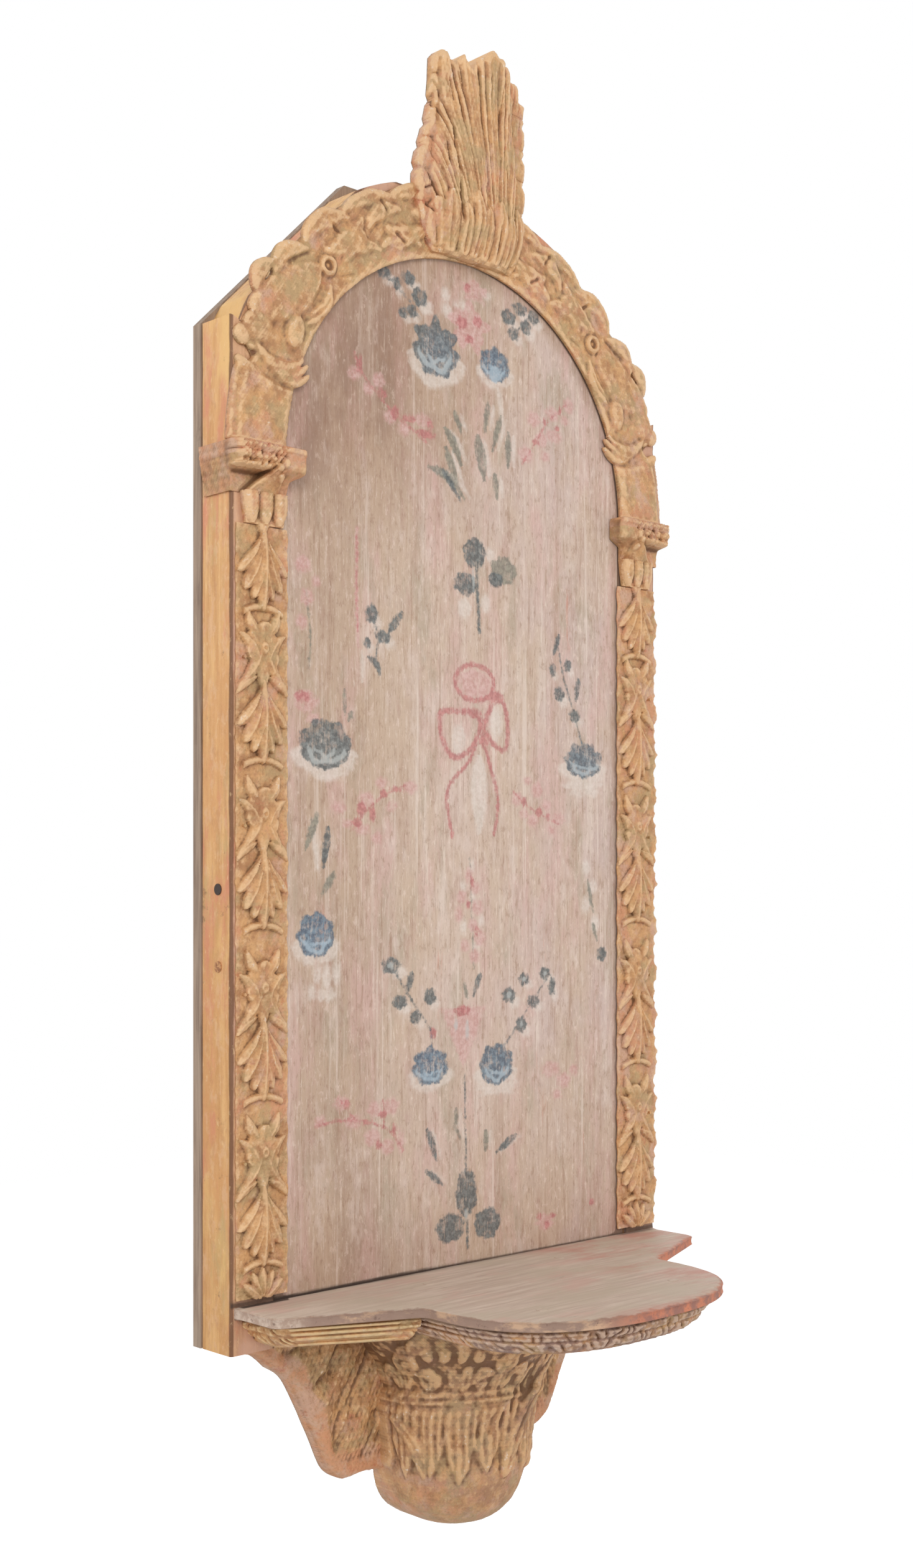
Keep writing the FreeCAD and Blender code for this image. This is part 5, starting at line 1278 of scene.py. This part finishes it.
def corbel(rounds=310, levels=290):
    """The bracket: half circles on an upright axis, whose radius follows the profile, carried straight back to
    the frame. The carving is a relief over angle and height that is added along the radius."""
    t = np.linspace(0, 1, 800)
    radius, fall = (np.interp(t, np.linspace(0, 1, len(CORBEL_PROFILE)), column) for column in zip(*CORBEL_PROFILE))
    for _ in range(3):
        radius, fall = rounded(radius, fall, 14)
    radius, fall, _ = run_along(radius * CORBEL_RADIUS, fall * CORBEL_DROP, levels)
    angle = np.linspace(-90, 90, rounds)
    r, k = Relief(0, 1, 0, 1, 1.0), DEGREE
    r.X, r.Z = np.meshgrid(angle * k, fall, indexing="ij")
    r.start()
    # under the shelf, swags and small flowers among leaves
    for a, b in ((-90, -70), (-70, -14), (-14, 34), (34, 90)):
        r.leaf((a * k, 24), (b * k, 24), 22, 3.6, bend=-0.16, belly=0.5, hollow=0.3, blunt=0.4)
        r.leaf((a * k, 13), (b * k, 13), 13, 3.0, bend=-0.14, belly=0.5, rib=-0.3, blunt=0.4)
    for n, a in enumerate(np.arange(-88, 90, 8.8)):
        x = a * k
        r.leaf((x, 38 + 3 * math.sin(n * 1.9)), (x + 4 * math.sin(n * 2.7), 57), 11, 2.2 + math.sin(n * 1.3) ** 2,
               belly=0.5, ground=0.4, rib=-0.3, blunt=0.5)
        r.leaf((x + 5, 32), (x + 9 + 5 * math.sin(n), 14 + 5 * math.sin(n * 2.3)), 9,
               2.0 + 1.2 * math.sin(n * 0.9) ** 2, belly=0.5, ground=1.2, rib=-0.3, bend=0.1 * math.sin(n * 1.7),
               blunt=0.5)
    for a, size, z in ((-70, 9, 35), (-14, 8, 34), (40, 8, 33), (78, 9, 31)):
        x = a * k
        r.flower(x, z, size, 4.2, 6, 0.2, ground=2.0, eye=0.35, tall=1.2)
        for s in SIDES:
            r.leaf((x + 4 * s, z + 8), (x + 21 * s, z + 17), 12, 2.8, bend=-0.25 * s, ground=1.2, rib=-0.2)
            r.leaf((x + 4 * s, z - 9), (x + 16 * s, z - 27), 12, 3.0, bend=0.2 * s, ground=1.4, rib=-0.2)
    # thin broken rings round the neck
    sway = r.Z - 1.6 * np.sin(r.X * 0.05)
    for z, tall, thick in ((60, 2.0, 1.8), (65.5, 1.6, 1.6), (70.5, 1.3, 1.5)):
        broken = 0.3 + 0.7 * smooth(1 + wobble(r.X * 2.2, z, 0.6) * 4)
        r.H = np.maximum(r.H, tall * hump(sway, z, thick) * broken + 0.4)
    # a ring of broad leaves, each of three or four upright flutes, whose tips bend out over the bowl
    across = r.X / 6.6 + 0.30 * r.wave(1.7, 0.8, 1.0)
    leaf = across / 3.4 + 0.35
    middle = 1 - 2 * np.abs(leaf - np.floor(leaf) - 0.5)
    tips = 104 + 26 * middle ** 0.7 + 4 * np.sin(np.floor(leaf) * 2.3)
    fluted = 0.9 + 2.1 * np.abs(np.sin(math.pi * across)) ** 0.8 + 0.9 * middle + 1.6 * rise(r.Z, 96, 26) * middle
    r.H = np.maximum(r.H, fluted * (smooth((tips - r.Z) / 9) * rise(r.Z, 66, 9)))
    r.leaf((-88 * k, 78), (-60 * k, 124), 17, 3.8, bend=-0.14, belly=0.5, ground=1.0, rib=-0.3, veins=3, blunt=0.5)
    r.leaf((52 * k, 36), (-2 * k, 128), 20, 5.0, bend=0.10, belly=0.55, ground=2.0, rib=-0.35, veins=4, blunt=0.45)
    r.leaf((66 * k, 60), (36 * k, 130), 18, 4.0, bend=0.10, belly=0.5, ground=1.6, rib=-0.3, veins=3, blunt=0.45)
    r.cuts([(a * k, z0, a * k - 2, z1, wide, deep) for a, z0, z1, wide, deep in
            rows("-22 78 96 4 2.6, -14 76 94 5 3.4, -6 74 92 5 3.4, 2 56 80 7 4, 10 42 66 7 4, -47 84 100 3 2")])
    r.H = r.H * fade(r.Z, 142, 10) + 0.8 * r.wave(5, 5, 0.5) * fade(r.Z, 150, 30)
    r.H = blurred(r.H, 1) + 0.7 * r.wave(1.4, 1.6, 2.5) + 0.35 * r.wave(15, 13, 4.0)
    # painted shade: hollows are marked more strongly near the top, under the shelf, and painted shadow lies right of
    # the middle and at the far left by the wing
    hollow = (0.95 + 0.9 * fade(r.Z, 74, 20)) * (blurred(r.H, 4) - r.H)
    turn = r.X / k
    hollow = hollow + 0.9 * hump(turn, 14, 8) * rise(r.Z, 34, 20) * fade(r.Z, 104, 20)
    hollow = hollow + 0.9 * hump(turn, -82, 12) * hump(r.Z, 24, 14)
    R = np.clip(radius[None] * 0.972 - 1.2 + r.H * np.clip(radius[None] / 40, 0, 1), 0.2, CORBEL_RADIUS - 0.2)
    w = np.radians(angle)[:, None]
    X, Y = R * np.sin(w), CORBEL_AXIS - R * np.cos(w)
    # it is fuller on the left
    X = X - 8.5 * np.clip(-np.sin(w), 0, 1) * rise(fall[None], 40, 45) * fade(fall[None], 176, 34)
    Z = np.repeat((CORBEL_TOP - 0.1 - fall)[None], rounds, 0)
    cheek = CORBEL_AXIS + np.linspace(0, 1, 8)[1:, None] * (-9.1 - CORBEL_AXIS)
    left, right = (np.stack([np.repeat(end, 7, 0), cheek + 0 * end, np.repeat(Z[:1], 7, 0)], -1)
                   for end in (X[:1], X[-1:]))
    loops = np.concatenate([left[::-1], np.stack([X, Y, Z], -1), right], 0).transpose(1, 0, 2)
    marks = np.concatenate([np.repeat(hollow[:1], 7, 0), hollow, np.repeat(hollow[-1:], 7, 0)], 0).T
    # painted shade under the shelf, strongest at the top
    shade = np.interp(fall, [0, 34, 70], [1.0, 0.75, 0.0])[:, None] + 0 * marks
    x, y, z = np.moveaxis(loops, -1, 0)
    bare = np.maximum(smooth(wobble(x * 1.1, z * 1.1, 0.4) * 2) * 0.5, 0.9 * fade(z, -132, 24))
    put("carved_bracket", outward(*loft(loops)), "gilt_wood", gilt_brown, "corbel", 60,
        hollow=capped(1.35 * marks + 0.6 * shade), bare=capped(bare), rear=capped((y > -9.3) * 1.0))


corbel()

# distance from the middle, and how far the wing's lower edge falls there
WING_EDGE = rows("""50 118, 70 118.4, 94.6 119, 107.8 117.2, 119 109.5, 123.9 95.2, 135.3 69.6, 155.1 34.5, 182.6 13.7,
    210.1 5.4, 220 0""")


def wing(step=0.7):
    """An apron wing: under the rail it falls in a long curve with three soft lobes. A smooth band runs along that
    curve; inside it, flutes fan out from the top and stand upright on the worn lower lobe."""
    low, high = box_mm("apron_wing_left")
    r = Relief(low[0] - 1, high[0] + 1, low[2] - 1, high[2] + 1, step)
    out, top = -r.X, high[2]
    fall = follow(WING_EDGE, out)
    for _ in range(2):
        fall = blurred(fall, 4)
    edge = top - fall + 2.0 * np.abs(np.sin(out * 0.09 + 0.4)) * fade(out, 215, 20) + 0.5
    slope = np.gradient(edge, step, axis=0)
    from_curve = (r.Z - edge) / np.sqrt(1 + slope ** 2)
    inside = np.minimum(from_curve, np.minimum(top - r.Z, out - 50.0) - 0.2)
    r.add(inside, 10.5)
    band = fade(from_curve, 16, 9)
    fan = np.degrees(np.arctan2(out - 38, top + 55 - r.Z))
    flutes = np.abs(np.sin(np.radians(fan) * 12.0 + 0.9 * r.wave(1.6, 1.3, 2.0))) ** 0.8
    low_lobe = smooth((top - 84 - r.Z) / 22)
    body = (5.2 * flutes * (1 - 0.55 * low_lobe) * (1 - band) * rise(from_curve, 0, 4)
            + 3.4 * band * rise(from_curve, 0, 3))
    r.H = np.where(inside > 0, 12.2 + body - 3.2 * (1 - rise(inside, 0, 5)) - 1.2 * low_lobe, r.H)
    r.leaf((-56, top - 4), (-104, top - 74), 30, 3.0, bend=0.14, ground=14.5, rib=-0.35, lobes=3, lobe=0.12, veins=3,
           blunt=0.5)
    r.leaf((-112, top - 6), (-150, top - 22), 15, 2.4, bend=0.1, ground=14.5, rib=-0.3)
    r.boss(-66, top - 14, 7, 2.6, ground=15.0)
    r.pit(-60, top - 22, 4.0, 3.0)
    knots = 0.9 * r.wave(5, 3.4, 0.9) + 0.6 * r.wave(12, 8, 1.9)
    r.H = np.minimum(blurred(r.H, 1) + knots * (1 - 0.7 * band) + 0.25 * r.wave(25, 21, 2.9), 20.8)
    part = r.part(low[1] + 0.05, high[1] - 0.02, high[1])
    x, _, z = part[0].T
    edge_at, slope_at = (np.interp(-x, out[::-1, 0], values[::-1, 0]) for values in (edge, slope))
    band = smooth((15 - (z - edge_at) / np.sqrt(1 + slope_at ** 2)) / 6)
    bare = np.maximum(2.4 * fade(z, -122, 16), 0.5 * smooth(wobble(x, z, 0.8) * 2))
    hollow = np.maximum(r.hollow + 0.3 * (1 - band), 0.12 * band - 2 * (1 - band))
    return hollow, part, np.maximum(bare, 1.9 * band)


hollow, part, bare = wing()
pair("apron_wing", "apron_wing", hollow, part, (gilt, gilt), (bare, bare), 1.2)

# ---------------------------------------------------------------- kept pieces of the frame

for finish, kept in ((upright_wood, "rear_plank_left rear_plank_centre rear_plank_right"),
                     (cross_wood, "head_splines bottom_rail rail_pegs panel_batten_lower panel_batten_upper shelf_core "
                                  "bracket_dowels"), (gilt, "crest_nails carving_brads"),
                     (painted_shelf, "shelf_nails"), (nail_finish(), "side_nails"),
                     (iron, "batten_nails rear_nails hanger_plate_left hanger_plate_right hanger_nails")):
    for node in kept.split():
        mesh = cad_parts[node].data
        mesh.materials.clear()
        mesh.materials.append(finish)

# ---------------------------------------------------------------- studio


def place(name, data, location=(0, 0, 0), rotation=(0, 0, 0)):
    """Puts something of the studio into the scene."""
    thing = bpy.data.objects.new(name, data)
    bpy.context.scene.collection.objects.link(thing)
    thing.location, thing.rotation_euler = location, rotation
    return thing


def studio():
    """A pale floor, a white world for the camera, soft lights, and the photograph's camera."""
    scene = bpy.context.scene
    scene.world = bpy.data.worlds.new("studio")
    w = Nodes(scene.world)
    ray = w.node("ShaderNodeLightPath").outputs
    seen = w.maths("MAXIMUM", ray["Is Camera Ray"],
                   w.maths("MAXIMUM", ray["Is Glossy Ray"], ray["Is Transmission Ray"]))
    strength = w.node("ShaderNodeMapRange", {"Value": seen, "To Min": 0.64, "To Max": 1.0})
    sky = w.node("ShaderNodeBackground", {"Color": (1, 1, 1, 1), "Strength": strength.outputs[0]})
    w.node("ShaderNodeOutputWorld", {"Surface": sky.outputs[0]})

    mesh = bpy.data.meshes.new("floor")
    size, height = 4.0, -0.62
    mesh.from_pydata([(-size, -size, height), (size, -size, height), (size, size, height), (-size, size, height)],
                     [], [(0, 1, 2, 3)])
    pale = bpy.data.materials.new("pale_floor")
    f = Nodes(pale)
    ray = f.node("ShaderNodeLightPath").outputs
    diffuse = f.node("ShaderNodeBsdfDiffuse", {"Color": (0.8, 0.8, 0.8, 1)})
    glow = f.node("ShaderNodeEmission", {"Color": (0.56, 0.56, 0.56, 1), "Strength": ray["Is Camera Ray"]})
    both = f.node("ShaderNodeAddShader", {0: diffuse.outputs[0], 1: glow.outputs[0]})
    f.node("ShaderNodeOutputMaterial", {"Surface": both.outputs[0]})
    mesh.materials.append(pale)
    floor = place("floor", mesh)

    for name, at_place, aim, size, power in (("key", (-1.9, -2.3, 1.5), (0, -0.05, 0.3), 1.5, 30.0),
                                             ("fill", (1.7, -2.2, 0.2), (0, -0.05, 0.2), 1.8, 10.0),
                                             ("back_left", (-1.8, 1.4, 1.2), (0, 0, 0.4), 1.5, 10.0),
                                             ("back_right", (1.6, 1.6, 1.0), (0, 0, 0.4), 1.5, 8.0)):
        lamp = bpy.data.lights.new(name, "AREA")
        lamp.shape, lamp.size, lamp.energy = "DISK", size, power
        x, y, z = np.array(at_place) - np.array(aim)
        place(name, lamp, at_place, (math.atan2(math.hypot(x, y), z), 0, math.atan2(x, -y)))

    camera = bpy.data.cameras.new("camera")
    camera.sensor_fit, camera.sensor_width, camera.lens = "AUTO", 36.0, 42.5
    camera.shift_x, camera.shift_y, camera.clip_start, camera.clip_end = 0.0, 0.0663, 0.05, 50.0
    scene.camera = place("camera", camera, (-0.9912, -1.0821, 0.291), (math.radians(90), 0, math.radians(-43.4)))
    scene.view_settings.view_transform = "Standard"


studio()
